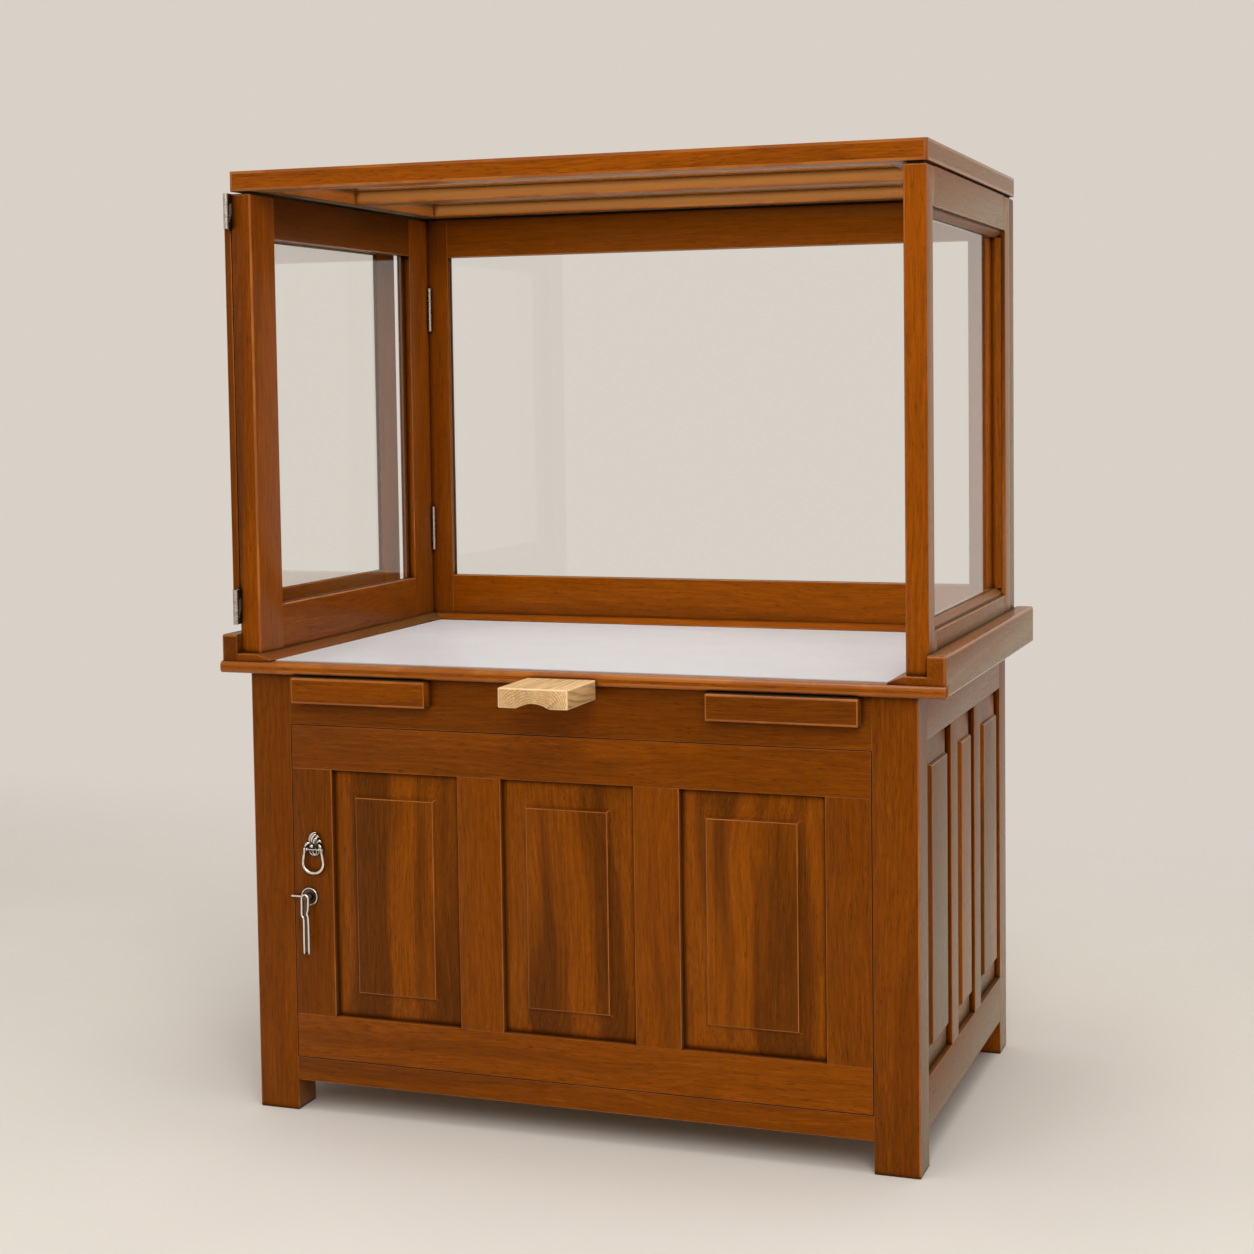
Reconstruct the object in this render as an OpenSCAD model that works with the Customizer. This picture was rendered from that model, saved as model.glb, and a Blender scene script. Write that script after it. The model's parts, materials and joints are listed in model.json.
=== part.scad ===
// Panelled teak bench cabinet with a white worktop, two shallow drawers, a bench pin
// and a glazed folding hood.
// Millimetres. Z is up and -Y is the front. The origin is on the floor under the middle of the overall
// width and depth. Each piece is drawn in cabinet coordinates, with Y = 0 on the front of the legs.

/* [Cabinet body] */
// Width over the legs
body_w = 1100; // [900:10:1400]
// Depth over the legs
body_d = 660; // [560:10:800]
// Width of a leg, seen from the front
leg_w = 70; // [55:1:90]
// Depth of a leg, seen from the side
leg_d = 55; // [45:1:70]
// Underside of the front rail above the floor
foot_h = 50; // [30:1:90]
// Height of the rail under the door
front_rail_h = 38; // [25:1:60]
// Height of the front apron between the door and the worktop
apron_h = 81; // [78:1:120]
// Thickness of the aprons and rails
rail_t = 22; // [18:1:26]
// Underside of the side rails above the floor
side_foot_h = 58; // [40:1:90]
// Height of the lower side rail
side_low_rail_h = 77; // [50:1:100]
// Height of the upper side rail
side_top_rail_h = 72; // [50:1:100]
// Width of a side muntin
side_muntin_w = 46; // [30:1:60]
// Width of the middle side opening
side_mid_w = 130; // [90:1:160]
// Thickness of the back board
back_t = 10; // [6:1:15]
// Thickness of the floor board
floor_t = 12; // [9:1:18]

/* [Door] */
// Height of the door
door_h = 540; // [440:5:640]
// Thickness of the door frame
door_t = 22; // [20:1:26]
// Gap around the door
door_gap = 1.5; // [1.5:0.1:3]
// Width of the door stiles
door_stile_w = 70; // [50:1:90]
// Height of the door rails
door_rail_h = 70; // [50:1:90]
// Width of the door muntins
door_muntin_w = 74; // [50:1:90]
// Extra width of the right door panel
door_right_extra = 8; // [0:1:16]
// Distance of the door's pivots from its hinged edge
pivot_in = 10; // [10:1:14]
// Distance of the door's pivots from its front face
pivot_back = 5; // [4:0.5:5]
// Radius of a pivot pin
pivot_r = 3; // [2:0.5:3]
// Length of a pivot pin in its socket
pivot_l = 10; // [6:1:14]

/* [Raised panels] */
// Width of the bevelled margin beside a door field
door_margin = 43; // [30:1:55]
// Width of the bevelled margin beside a side field
side_margin = 30; // [20:1:40]
// Height of the bevelled margin above and below a field
end_margin = 43; // [30:1:55]
// Thickness of a panel tongue
tongue_t = 6; // [5:0.5:7]
// Depth of the groove that holds a panel
groove_d = 8; // [6:1:10]
// Depth of the groove behind the face of its frame
groove_back = 10; // [8:0.5:11]
// Rise of the bevel from the opening to the foot of the field
bevel_rise = 5.5; // [3:0.5:6]
// Height of the sloping step round the field
field_step = 5; // [2:0.5:6]
// Width of the sloping step round the field
step_w = 3; // [1:0.5:5]

/* [Worktop] */
// Thickness of the worktop board
top_t = 19; // [16:1:26]
// Overhang of the nosing in front of the legs
nosing_out = 20; // [12:1:35]
// Width of the nosing from front to back
nosing_w = 25; // [20:1:40]
// Radius on the front edges of the nosing
nosing_r = 7; // [3:1:8]
// Overhang of the worktop behind the legs
top_back = 30; // [10:1:50]
// Thickness of the white laminate sheet
sheet_t = 1.5; // [1:0.5:3]
// Width of the raised side ledges
ledge_w = 28; // [20:1:40]
// Height of the ledges above the worktop
ledge_up = 43; // [30:1:70]
// Ledge ends behind the front of the nosing
ledge_setback = 6; // [2:1:15]
// Height of the sills under the hood
sill_h = 12; // [8:1:20]
// Width of the sloping inner edge of a sill
sill_slope_w = 24; // [15:1:35]
// Height of the sill's inner edge
sill_lip = 3; // [2:0.5:6]

/* [Drawers] */
// Distance of a drawer front from the leg beside it
drawer_side_gap = 15; // [8:1:30]
// Width of a drawer front
drawer_front_w = 234; // [220:2:240]
// Height of a drawer front
drawer_front_h = 42; // [38:1:46]
// Thickness of a drawer front
drawer_front_t = 22; // [16:1:28]
// Radius on the edges of a drawer front
drawer_front_r = 4; // [2:0.5:6]
// Width of a drawer box
box_w = 200; // [160:2:210]
// Height of a drawer box
box_h = 32; // [26:1:34]
// Depth of a drawer box
box_d = 420; // [300:10:500]
// Thickness of a drawer box wall
box_wall = 8; // [6:1:12]
// Thickness of a drawer box bottom
box_floor = 5; // [4:1:8]
// Width of a drawer runner
runner_w = 24; // [16:1:30]
// Height of a drawer runner
runner_h = 20; // [12:1:30]
// Length of a drawer front below the box
front_drop = 5; // [3:0.5:6]

/* [Bench pin] */
// Width of the bench pin
pin_w = 112; // [90:1:130]
// Length of the pin in front of the legs
pin_out = 130; // [100:5:180]
// Thickness of the bench pin
pin_t = 30; // [24:1:32]
// Width of the hollow under the pin
pin_hollow_w = 53; // [30:1:70]
// Depth of the hollow under the pin
pin_hollow_d = 8; // [4:1:12]
// Width of the pin's tenon
tenon_w = 84; // [60:1:88]
// Thickness of the pin's tenon
tenon_t = 18; // [12:1:20]
// Length of the tenon behind the front of the apron
tenon_in = 45; // [30:1:60]

/* [Hood] */
// Hood overhang at each side of the legs
hood_out = 16; // [10:1:25]
// Height of the hood frames
hood_h = 735; // [600:5:900]
// Thickness of the hood frames
frame_t = 35; // [30:1:40]
// Width of the back frame's stiles
back_stile_w = 75; // [60:1:90]
// Width of the left frame's stiles
left_stile_w = 72; // [60:1:90]
// Width of the right frame's stiles
right_stile_w = 52; // [45:1:90]
// Height of the top rails of the hood frames
hood_top_rail = 70; // [55:1:90]
// Height of the bottom rails of the hood frames
hood_low_rail = 72; // [55:1:90]
// Thickness of the glass
glass_t = 4; // [3:0.5:5]
// Wood between the inner face of a frame and its glass
glass_in = 11; // [8:1:14]
// Width of the rebate for the glass
rebate_w = 12; // [10:1:16]
// Depth of a glazing bead
bead_t = 13; // [8:1:14]
// Gap between the left frame and the back frame
fold_gap = 3.2; // [3.2:0.1:5]

/* [Lid] */
// Thickness of the lid frame
lid_t = 31.5; // [26:0.5:40]
// Lid overhang past the hood frames
lid_out = 2; // [1:0.5:6]
// Height of the battens under the lid
batten_h = 3.5; // [2:0.5:6]
// Battens lie inside the faces of the hood frames by this much
batten_in = 6; // [4:1:8]
// Width of the lid's front rail
lid_front_w = 42; // [36:1:70]
// Width of the lid's other members
lid_rail_w = 66; // [50:1:90]
// Width of the bar across the middle of the lid
lid_bar_w = 45; // [30:1:60]
// Radius of the lid's upright corners
lid_corner_r = 6; // [3:0.5:10]
// Underside of the lid frame to its glass
lid_glass_up = 21; // [12:1:22]

/* [Folding leaf] */
// Width of the folding leaf
leaf_w = 555; // [500:5:560]
// Thickness of the folding leaf
leaf_t = 12; // [10:0.5:14]
// Gap between the folded leaf and the left frame
leaf_gap = 1.5; // [1:0.1:2.5]
// Gap between the leaf and the ledge below it
leaf_over_ledge = 16; // [4:1:25]
// Width of the leaf's stiles
leaf_stile_w = 64; // [45:1:80]
// Height of the leaf's bottom rail
leaf_low_rail = 45; // [35:1:70]
// Thickness of the leaf's glass
leaf_glass_t = 3; // [3:0.5:4]
// Clear space between the closed leaf and the posts
leaf_close_gap = 0.75; // [0.5:0.05:1.5]

/* [Hinges] */
// Radius of the leaf hinge knuckles
leaf_knuckle_r = 4; // [3:0.5:5]
// Length of a leaf hinge
leaf_hinge_l = 56; // [40:2:80]
// Radius of the fold hinge knuckles
fold_knuckle_r = 3.5; // [3:0.5:5]
// Length of a fold hinge
fold_hinge_l = 80; // [60:2:100]
// Height of the lower fold hinge's middle above the frame's foot
fold_hinge_low = 160; // [100:5:250]
// Height of the upper fold hinge's middle below the frame's top
fold_hinge_top = 166; // [100:5:250]
// Thickness of a hinge flap
flap_t = 1.5; // [1.2:0.1:2]
// Length of a hinge flap on the wood
flap_w = 24; // [16:1:28]
// Radius of a hinge pin
hinge_pin_r = 1.6; // [1.2:0.1:2]

/* [Door pull and latch] */
// Height of the pull's pivot above the door's foot
pull_up = 341; // [250:1:420]
// Distance of the pull from the door's free edge
pull_in = 38; // [30:1:48]
// Radius of the pull's rose
rose_r = 11; // [8:0.5:14]
// Half the distance between the bail's pivots
bail_half = 15; // [13:0.5:18]
// Half the greatest width of the bail
bail_wide = 20; // [18:0.5:24]
// Drop of the bail below its pivots
bail_drop = 40; // [34:1:50]
// Thickness of the bail's wire
bail_wire = 4; // [3:0.5:4.5]
// Bail pivots in front of the door
bail_out = 7; // [6:0.5:10]
// Height of the latch spindle above the door's foot
latch_up = 263; // [180:1:300]
// Distance of the latch spindle from the door's free edge
latch_in = 27; // [24:1:40]
// Radius of the latch rose
latch_r = 15; // [12:0.5:18]
// Lever length below the spindle
lever_l = 93; // [70:1:120]
// Width of the upper part of the lever
lever_w = 15; // [12:0.5:18]
// Width of the lower part of the lever
lever_low_w = 12; // [8:0.5:14]
// Thickness of the lever
lever_t = 6; // [4:0.5:8]
// Lever's middle in front of the door
lever_out = 16; // [14:0.5:22]
// Reach of the latch tongue over the leg
tongue_reach = 4; // [3:0.5:10]

/* [Clearances] */
// Clear space round a piece that slides
slide_gap = 0.5; // [0.3:0.1:1]
// Space under a piece that rests but moves
seat_gap = 0.3; // [0.2:0.05:0.5]
// Radial clearance of a pin in its knuckle
pin_fit = 0.05; // [0.03:0.01:0.1]
// Clear space round glass and panels in their rebates
bed_gap = 0.5; // [0.3:0.1:1]
// Clear space each side of a pane or panel tongue in its groove
groove_play = 0.15; // [0.1:0.05:0.3]
// Open joint at the ends of the upright glazing beads
bead_joint = 0.2; // [0.1:0.05:0.5]
// Space between two knuckles of a hinge
knuckle_gap = 0.4; // [0.3:0.1:0.6]

/* [Hidden] */

// Overshoot of a cut through a face
over = 1;
round_fn = 48;
small_fn = 32;

// Heights
door_z = foot_h + front_rail_h + door_gap;
apron_z = door_z + door_h + door_gap;
leg_h = apron_z + apron_h;
top_z = leg_h + top_t;
frame_z = top_z + sill_h;
frame_top = frame_z + hood_h;
lid_z = frame_top + batten_h;

// Widths and depths
inner_w = body_w - 2 * leg_w;
side_run = body_d - 2 * leg_d;
hood_w = body_w + 2 * hood_out;
top_w = hood_w + 2 * ledge_w;
back_y = body_d + top_back;
y_mid = (back_y - pin_out) / 2;
board_y = body_d - rail_t - back_t;

// Door
door_w = inner_w - 2 * door_gap;
door_open_h = door_h - 2 * door_rail_h;
door_open_w = (door_w - 2 * door_stile_w - 2 * door_muntin_w - door_right_extra) / 3;
door_step = door_open_w + door_muntin_w;
door_open_x = [
    door_stile_w - door_w / 2,
    door_stile_w - door_w / 2 + door_step,
    door_stile_w - door_w / 2 + 2 * door_step
];
door_open_wide = [door_open_w, door_open_w, door_open_w + door_right_extra];

// Side openings
side_open_z = side_foot_h + side_low_rail_h;
side_open_h = leg_h - side_top_rail_h - side_open_z;
side_out_w = (side_run - 2 * side_muntin_w - side_mid_w) / 2;
side_shift = side_mid_w / 2 + side_muntin_w + side_out_w / 2;

// Drawers and bench pin
front_gap = 3;
pin_shoulder = 1;
front_z = leg_h - front_gap - drawer_front_h;
drawer_x = inner_w / 2 - drawer_side_gap - drawer_front_w / 2;
box_z = front_z + front_drop;
tenon_z = leg_h - slide_gap - tenon_t;
pin_z = tenon_z - pin_shoulder;

// Hood
hood_x = hood_w / 2;
hood_in_x = hood_x - frame_t;
hood_in_y = body_d - frame_t;
left_len = hood_in_y - fold_gap;
lid_w = hood_w + 2 * lid_out;
lid_d = body_d + 2 * lid_out;
lid_in_x = lid_w / 2 - lid_rail_w;
lid_y = [-lid_out, lid_front_w - lid_out, body_d + lid_out - lid_rail_w, body_d + lid_out];
lid_pane_d = (lid_y[2] - lid_y[1] - lid_bar_w) / 2;
groove_t = tongue_t + 2 * groove_play;

// Leaf
leaf_z = top_z + ledge_up + leaf_over_ledge;
leaf_h = frame_top - seat_gap - leaf_z;
leaf_axis_x = -hood_x - leaf_gap / 2;
leaf_axis_y = -(leaf_t + leaf_gap / 2 + leaf_close_gap);
leaf_in_x = -hood_x - leaf_gap;
leaf_hinge_z = [leaf_z + leaf_hinge_l / 2, leaf_z + leaf_h - leaf_hinge_l / 2];

// Fold hinge axis, in the inner corner of the left and back frames
fold_axis_x = -hood_in_x + fold_knuckle_r + seat_gap;
fold_axis_y = hood_in_y - fold_knuckle_r - bed_gap;
fold_hinge_z = [frame_z + fold_hinge_low, frame_top - fold_hinge_top];
fold_flap = fold_knuckle_r + seat_gap + flap_w;

// Door hardware
pull_x = -door_w / 2 + pull_in;
pull_z = door_z + pull_up;
latch_x = -door_w / 2 + latch_in;
latch_z = door_z + latch_up;

// Puts cabinet coordinates in the part's frame
module place() {
    translate([0, -y_mid, 0])
        children();
}

// A box from its low corner
module box(x, y, z, w, d, h) {
    translate([x, y, z])
        cube([w, d, h]);
}

// Sets its children along X by the given shifts
module at_x(shifts) {
    for (s = shifts)
        translate([s, 0, 0])
            children();
}

// Legs

module leg(side, back) {
    box(
        side > 0 ? body_w / 2 - leg_w : -body_w / 2,
        back ? body_d - leg_d : 0,
        0, leg_w, leg_d, leg_h
    );
}

module leg_front_left() {
    color("sienna") place() difference() {
        leg(-1, false);
        side_pockets(-1);
    }
}

module leg_front_right() {
    color("sienna") place() difference() {
        leg(1, false);
        side_pockets(1);
    }
}

module leg_back_left() {
    color("sienna") place() difference() {
        leg(-1, true);
        side_pockets(-1);
    }
}

module leg_back_right() {
    color("sienna") place() difference() {
        leg(1, true);
        side_pockets(1);
    }
}

// Front apron, pierced for the two drawers and the bench pin's tenon
module front_apron() {
    color("peru") place() difference() {
        box(-inner_w / 2, 0, apron_z, inner_w, rail_t, apron_h);
        at_x([-drawer_x, drawer_x])
            box(
                -box_w / 2 - slide_gap, -over, box_z - seat_gap,
                box_w + 2 * slide_gap, rail_t + 2 * over, box_h + seat_gap + 2 * slide_gap
            );
        box(
            -tenon_w / 2 - slide_gap, -over, tenon_z - seat_gap,
            tenon_w + 2 * slide_gap, rail_t + 2 * over, tenon_t + apron_h
        );
        door_pivots(pivot_r + pin_fit, pivot_l + seat_gap);
    }
}

module front_rail() {
    color("peru") place() difference() {
        box(-inner_w / 2, 0, foot_h, inner_w, rail_t, front_rail_h);
        door_pivots(pivot_r + pin_fit, pivot_l + seat_gap);
    }
}

// Pivot pins at the right ends of the door's rails, or the sockets for them
module door_pivots(r, reach) {
    translate([door_w / 2 - pivot_in, pivot_back, 0])
        for (z = [door_z - door_gap - reach, door_z + door_h - over])
            translate([0, 0, z])
                cylinder(r = r, h = reach + door_gap + over, $fn = small_fn);
}

// Panelled sides. They are drawn facing -Y about X = 0 and turned to each side.

module to_side(side) {
    translate([side * body_w / 2, body_d / 2, 0])
        rotate([0, 0, side * 90])
            children();
}

// Grooves that hold the three panels of a side
module side_pocket(w) {
    box(
        -w / 2 - groove_d, groove_back, side_open_z - groove_d,
        w + 2 * groove_d, groove_t, side_open_h + 2 * groove_d
    );
}

module side_pockets(side) {
    to_side(side) {
        side_pocket(side_mid_w);
        at_x([-side_shift, side_shift])
            side_pocket(side_out_w);
    }
}

module side_rails(side) {
    difference() {
        to_side(side) {
            box(-side_run / 2, 0, side_foot_h, side_run, rail_t, side_low_rail_h);
            box(-side_run / 2, 0, leg_h - side_top_rail_h, side_run, rail_t, side_top_rail_h);
        }
        side_pockets(side);
    }
}

module side_muntins(side) {
    difference() {
        to_side(side)
            at_x([-side_mid_w / 2 - side_muntin_w, side_mid_w / 2])
                box(0, 0, side_open_z, side_muntin_w, rail_t, side_open_h);
        side_pockets(side);
    }
}

// Cross-section of a raised panel: a shallow bevel, a steep step and the flat field
module panel_profile(open_w, margin, tongue_y) {
    base = open_w / 2 - bed_gap;
    field = open_w / 2 - margin;
    bevel_y = tongue_y - bevel_rise;
    polygon([
        [-base, tongue_y + over], [base, tongue_y + over], [base, tongue_y],
        [field + step_w, bevel_y], [field, bevel_y - field_step],
        [-field, bevel_y - field_step], [-field - step_w, bevel_y], [-base, tongue_y]
    ]);
}

// Raised and fielded panel: a tongue all round, and the raised face mitred at its corners
module raised_panel(open_w, open_h, margin) {
    tongue = groove_d - bed_gap;
    tongue_y = groove_back + (groove_t - tongue_t) / 2;
    box(
        -open_w / 2 - tongue, tongue_y, -open_h / 2 - tongue,
        open_w + 2 * tongue, tongue_t, open_h + 2 * tongue
    );
    intersection() {
        translate([0, 0, -open_h / 2])
            linear_extrude(height = open_h)
                panel_profile(open_w, margin, tongue_y);
        translate([open_w / 2, 0, 0])
            rotate([0, -90, 0])
                linear_extrude(height = open_w)
                    panel_profile(open_h, end_margin, tongue_y);
    }
}

module side_panels(side) {
    to_side(side)
        translate([0, 0, side_open_z + side_open_h / 2]) {
            raised_panel(side_mid_w, side_open_h, side_margin);
            at_x([-side_shift, side_shift])
                raised_panel(side_out_w, side_open_h, side_margin);
        }
}

module left_side_rails() {
    color("peru") place() side_rails(-1);
}

module left_side_muntins() {
    color("sienna") place() side_muntins(-1);
}

module left_side_panels() {
    color("chocolate") place() side_panels(-1);
}

module right_side_rails() {
    color("peru") place() side_rails(1);
}

module right_side_muntins() {
    color("sienna") place() side_muntins(1);
}

module right_side_panels() {
    color("chocolate") place() side_panels(1);
}

// Back, floor and drawer runners

module back_rails() {
    color("peru") place() {
        box(-inner_w / 2, body_d - rail_t, side_foot_h, inner_w, rail_t, side_low_rail_h);
        box(-inner_w / 2, body_d - rail_t, leg_h - side_top_rail_h, inner_w, rail_t, side_top_rail_h);
    }
}

module back_board() {
    color("burlywood") place()
        box(-inner_w / 2, board_y, side_foot_h, inner_w, back_t, leg_h - side_foot_h);
}

module floor_board() {
    floor_z = foot_h + front_rail_h - floor_t;
    notch_w = leg_w - rail_t + over;
    notch_front = leg_d - rail_t + over;
    notch_back = leg_d - rail_t - back_t;
    color("burlywood") place() difference() {
        box(-body_w / 2 + rail_t, rail_t, floor_z, body_w - 2 * rail_t, board_y - rail_t, floor_t);
        for (x = [-body_w / 2 + rail_t - over, inner_w / 2]) {
            box(x, rail_t - over, floor_z - over, notch_w, notch_front, floor_t + 2 * over);
            box(x, board_y - notch_back, floor_z - over, notch_w, notch_back + over, floor_t + 2 * over);
        }
    }
}

module drawer_runners() {
    color("burlywood") place()
        at_x([-drawer_x, drawer_x])
            at_x([-box_w / 2, box_w / 2 - runner_w])
                box(0, rail_t, box_z - seat_gap - runner_h, runner_w, board_y - rail_t, runner_h);
}

// Worktop

module worktop_board() {
    y = nosing_w - nosing_out;
    color("tan") place()
        box(-hood_x, y, leg_h, hood_w, back_y - y, top_t);
}

module worktop_sheet() {
    y = nosing_w - nosing_out;
    x = hood_in_x - sill_slope_w;
    color("white") place()
        box(-x, y, top_z, 2 * x, hood_in_y - sill_slope_w - y, sheet_t);
}

// Front nosing with rounded front edges
module worktop_nosing() {
    color("peru") place()
        translate([-top_w / 2, -nosing_out, leg_h])
            rotate([90, 0, 90])
                linear_extrude(height = top_w) {
                    translate([nosing_r, 0])
                        square([nosing_w - nosing_r, top_t]);
                    translate([0, nosing_r])
                        square([nosing_w, top_t - 2 * nosing_r]);
                    for (z = [nosing_r, top_t - nosing_r])
                        translate([nosing_r, z])
                            circle(r = nosing_r, $fn = small_fn);
                }
}

// Side ledge, notched over the nosing
module ledge(x) {
    y = ledge_setback - nosing_out;
    notch_d = nosing_w - ledge_setback + over;
    difference() {
        box(x, y, leg_h, ledge_w, back_y - y, top_t + ledge_up);
        box(x - over, y - over, leg_h - over, ledge_w + 2 * over, notch_d, top_t + over);
    }
}

module left_ledge() {
    color("peru") place() ledge(-top_w / 2);
}

module right_ledge() {
    color("peru") place() ledge(hood_x);
}

// Cross-section of a sill, from its outer edge inwards
module sill_profile() {
    w = frame_t + sill_slope_w;
    polygon([[0, 0], [w, 0], [w, sill_lip], [frame_t, sill_h], [0, sill_h]]);
}

module left_side_sill() {
    length = body_d + nosing_out - ledge_setback;
    translate([-hood_x, body_d, top_z])
        rotate([90, 0, 0])
            linear_extrude(height = length)
                sill_profile();
}

module left_sill() {
    color("sienna") place() left_side_sill();
}

module right_sill() {
    color("sienna") place() mirror([1, 0, 0]) left_side_sill();
}

// Back sill, coped over the side sills
module back_sill() {
    color("sienna") place() difference() {
        translate([hood_x, body_d, top_z])
            rotate([90, 0, -90])
                linear_extrude(height = hood_w)
                    sill_profile();
        left_side_sill();
        mirror([1, 0, 0]) left_side_sill();
    }
}

// Cupboard door, drawn about its middle line with its foot at Z = 0

// Grooves that hold the three panels of the door
module door_pockets() {
    for (k = [0:2])
        box(
            door_open_x[k] - groove_d, groove_back, door_rail_h - groove_d,
            door_open_wide[k] + 2 * groove_d, groove_t, door_open_h + 2 * groove_d
        );
}

module door_place() {
    color("chocolate") place()
        translate([0, 0, door_z])
            children();
}

module door_stiles() {
    door_place() difference() {
        at_x([-door_w / 2, door_w / 2 - door_stile_w])
            box(0, 0, door_rail_h, door_stile_w, door_t, door_open_h);
        door_pockets();
    }
}

// The rails run the whole width of the door, and the stiles stand between them
module door_rails() {
    door_place() difference() {
        for (z = [0, door_h - door_rail_h])
            box(-door_w / 2, 0, z, door_w, door_t, door_rail_h);
        door_pockets();
    }
    color("chocolate") place() door_pivots(pivot_r, pivot_l);
}

module door_muntins() {
    door_place() difference() {
        for (k = [1, 2])
            box(door_open_x[k] - door_muntin_w, 0, door_rail_h, door_muntin_w, door_t, door_open_h);
        door_pockets();
    }
}

module door_panels() {
    door_place()
        for (k = [0:2])
            translate([door_open_x[k] + door_open_wide[k] / 2, 0, door_h / 2])
                raised_panel(door_open_wide[k], door_open_h, door_margin);
}

// Ring pull: a rose with a leaf finial, a cross rod and a swinging bail

module pull_place() {
    color("silver") place()
        translate([pull_x, 0, pull_z])
            children();
}

// One pointed leaf of the finial, between two arcs
module petal(length, width) {
    r = (length * length + width * width) / (4 * width);
    translate([0, length / 2])
        intersection() {
            translate([r - width / 2, 0])
                circle(r = r, $fn = 4 * round_fn);
            translate([width / 2 - r, 0])
                circle(r = r, $fn = 4 * round_fn);
        }
}

module pull_rose() {
    plate_t = 3;
    ear_w = 3;
    ear_x = bail_half - 1.5 - ear_w;
    ear_r = 3;
    boss_r = 5;
    leaf_l = 22;
    leaf_w = 9;
    side_leaf_l = 16;
    lean = 38;
    pull_place() {
        rotate([90, 0, 0]) {
            cylinder(r = rose_r, h = plate_t, $fn = round_fn);
            cylinder(r = boss_r, h = bail_out, $fn = small_fn);
            linear_extrude(height = plate_t) {
                translate([0, rose_r - 4])
                    petal(leaf_l, leaf_w);
                for (side = [-1, 1])
                    translate([side * 2, rose_r - 4])
                        rotate([0, 0, side * lean])
                            petal(side_leaf_l, leaf_w - 2);
            }
        }
        at_x([-ear_x - ear_w, ear_x]) {
            box(0, -bail_out, -ear_r, ear_w, bail_out, 2 * ear_r);
            translate([0, -bail_out, 0])
                rotate([0, 90, 0])
                    cylinder(r = ear_r, h = ear_w, $fn = small_fn);
        }
        rod = bail_half + bail_wire / 2 + 1;
        translate([-rod, -bail_out, 0])
            rotate([0, 90, 0])
                cylinder(r = 1.2, h = 2 * rod, $fn = small_fn);
    }
}

module pull_bail() {
    wire_r = bail_wire / 2;
    ring_r = bail_wide - wire_r;
    ring_z = ring_r + wire_r - bail_drop;
    eye_r = wire_r + 0.8;
    lean = atan((ring_r - bail_half) / -ring_z);
    leg_l = sqrt(pow(ring_r - bail_half, 2) + ring_z * ring_z);
    pull_place() translate([0, -bail_out, 0]) difference() {
        union() {
            for (side = [-1, 1]) {
                translate([side * bail_half - wire_r + 0.5, 0, 0])
                    rotate([0, 90, 0])
                        cylinder(r = eye_r, h = bail_wire - 1, $fn = small_fn);
                translate([side * bail_half, 0, 0])
                    rotate([0, 180 - side * lean, 0])
                        cylinder(r = wire_r - 0.5, h = leg_l, $fn = small_fn);
                translate([side * ring_r, 0, ring_z])
                    sphere(r = wire_r, $fn = small_fn);
            }
            translate([0, 0, ring_z])
                rotate([-90, 0, 0])
                    rotate_extrude(angle = 180, $fn = round_fn)
                        translate([ring_r, 0])
                            circle(r = wire_r, $fn = small_fn);
        }
        translate([-bail_wide, 0, 0])
            rotate([0, 90, 0])
                cylinder(r = 1.2 + pin_fit, h = 2 * bail_wide, $fn = small_fn);
    }
}

// Latch: a round rose, a hanging lever on its spindle and a thin tongue that reaches over the leg

module latch_place() {
    color("silver") place()
        translate([latch_x, 0, latch_z])
            children();
}

module latch_rose() {
    plate_t = 3;
    rim = 3;
    latch_place() rotate([90, 0, 0]) difference() {
        union() {
            cylinder(r = latch_r, h = plate_t - 1, $fn = round_fn);
            difference() {
                cylinder(r = latch_r, h = plate_t, $fn = round_fn);
                translate([0, 0, -over])
                    cylinder(r = latch_r - rim, h = plate_t + 2 * over, $fn = round_fn);
            }
        }
        translate([0, 0, -over])
            cylinder(r = 4 + pin_fit, h = plate_t + 2 * over, $fn = small_fn);
    }
}

module latch_lever() {
    half = lever_w / 2;
    crank = 34;
    crank_l = 6;
    tongue_l = latch_in + door_gap + tongue_reach;
    neck_y = 3.4;
    latch_place() {
        rotate([90, 0, 0]) {
            translate([0, 0, seat_gap])
                cylinder(r = 4, h = lever_out - seat_gap, $fn = small_fn);
            translate([0, 0, neck_y])
                cylinder(r = 5.5, h = lever_out - neck_y, $fn = small_fn);
            translate([0, 0, lever_out - lever_t / 2])
                linear_extrude(height = lever_t) {
                    circle(r = half, $fn = round_fn);
                    polygon([
                        [-half, 0], [half, 0], [half, -lever_l], [half - lever_low_w, -lever_l],
                        [half - lever_low_w, -crank - crank_l], [-half, -crank]
                    ]);
                }
        }
        box(-tongue_l, -neck_y - 2.5, -1.5, tongue_l, 2.5, 3);
    }
}

// Drawers. The front covers its opening in the apron, and the box is an open tray behind it.

module drawer_front(side) {
    r = drawer_front_r;
    color("peru") place()
        translate([side * drawer_x - drawer_front_w / 2, -seat_gap, front_z])
            rotate([90, 0, 90])
                mirror([1, 0, 0])
                    linear_extrude(height = drawer_front_w) {
                        square([drawer_front_t - r, drawer_front_h]);
                        translate([0, r])
                            square([drawer_front_t, drawer_front_h - 2 * r]);
                        for (z = [r, drawer_front_h - r])
                            translate([drawer_front_t - r, z])
                                circle(r = r, $fn = small_fn);
                    }
}

module drawer_box(side) {
    color("burlywood") place()
        translate([side * drawer_x - box_w / 2, -seat_gap, box_z])
            difference() {
                cube([box_w, box_d, box_h]);
                translate([box_wall, box_wall, box_floor])
                    cube([box_w - 2 * box_wall, box_d - 2 * box_wall, box_h]);
            }
}

module left_drawer_front() {
    drawer_front(-1);
}

module left_drawer_box() {
    drawer_box(-1);
}

module right_drawer_front() {
    drawer_front(1);
}

module right_drawer_box() {
    drawer_box(1);
}

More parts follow.
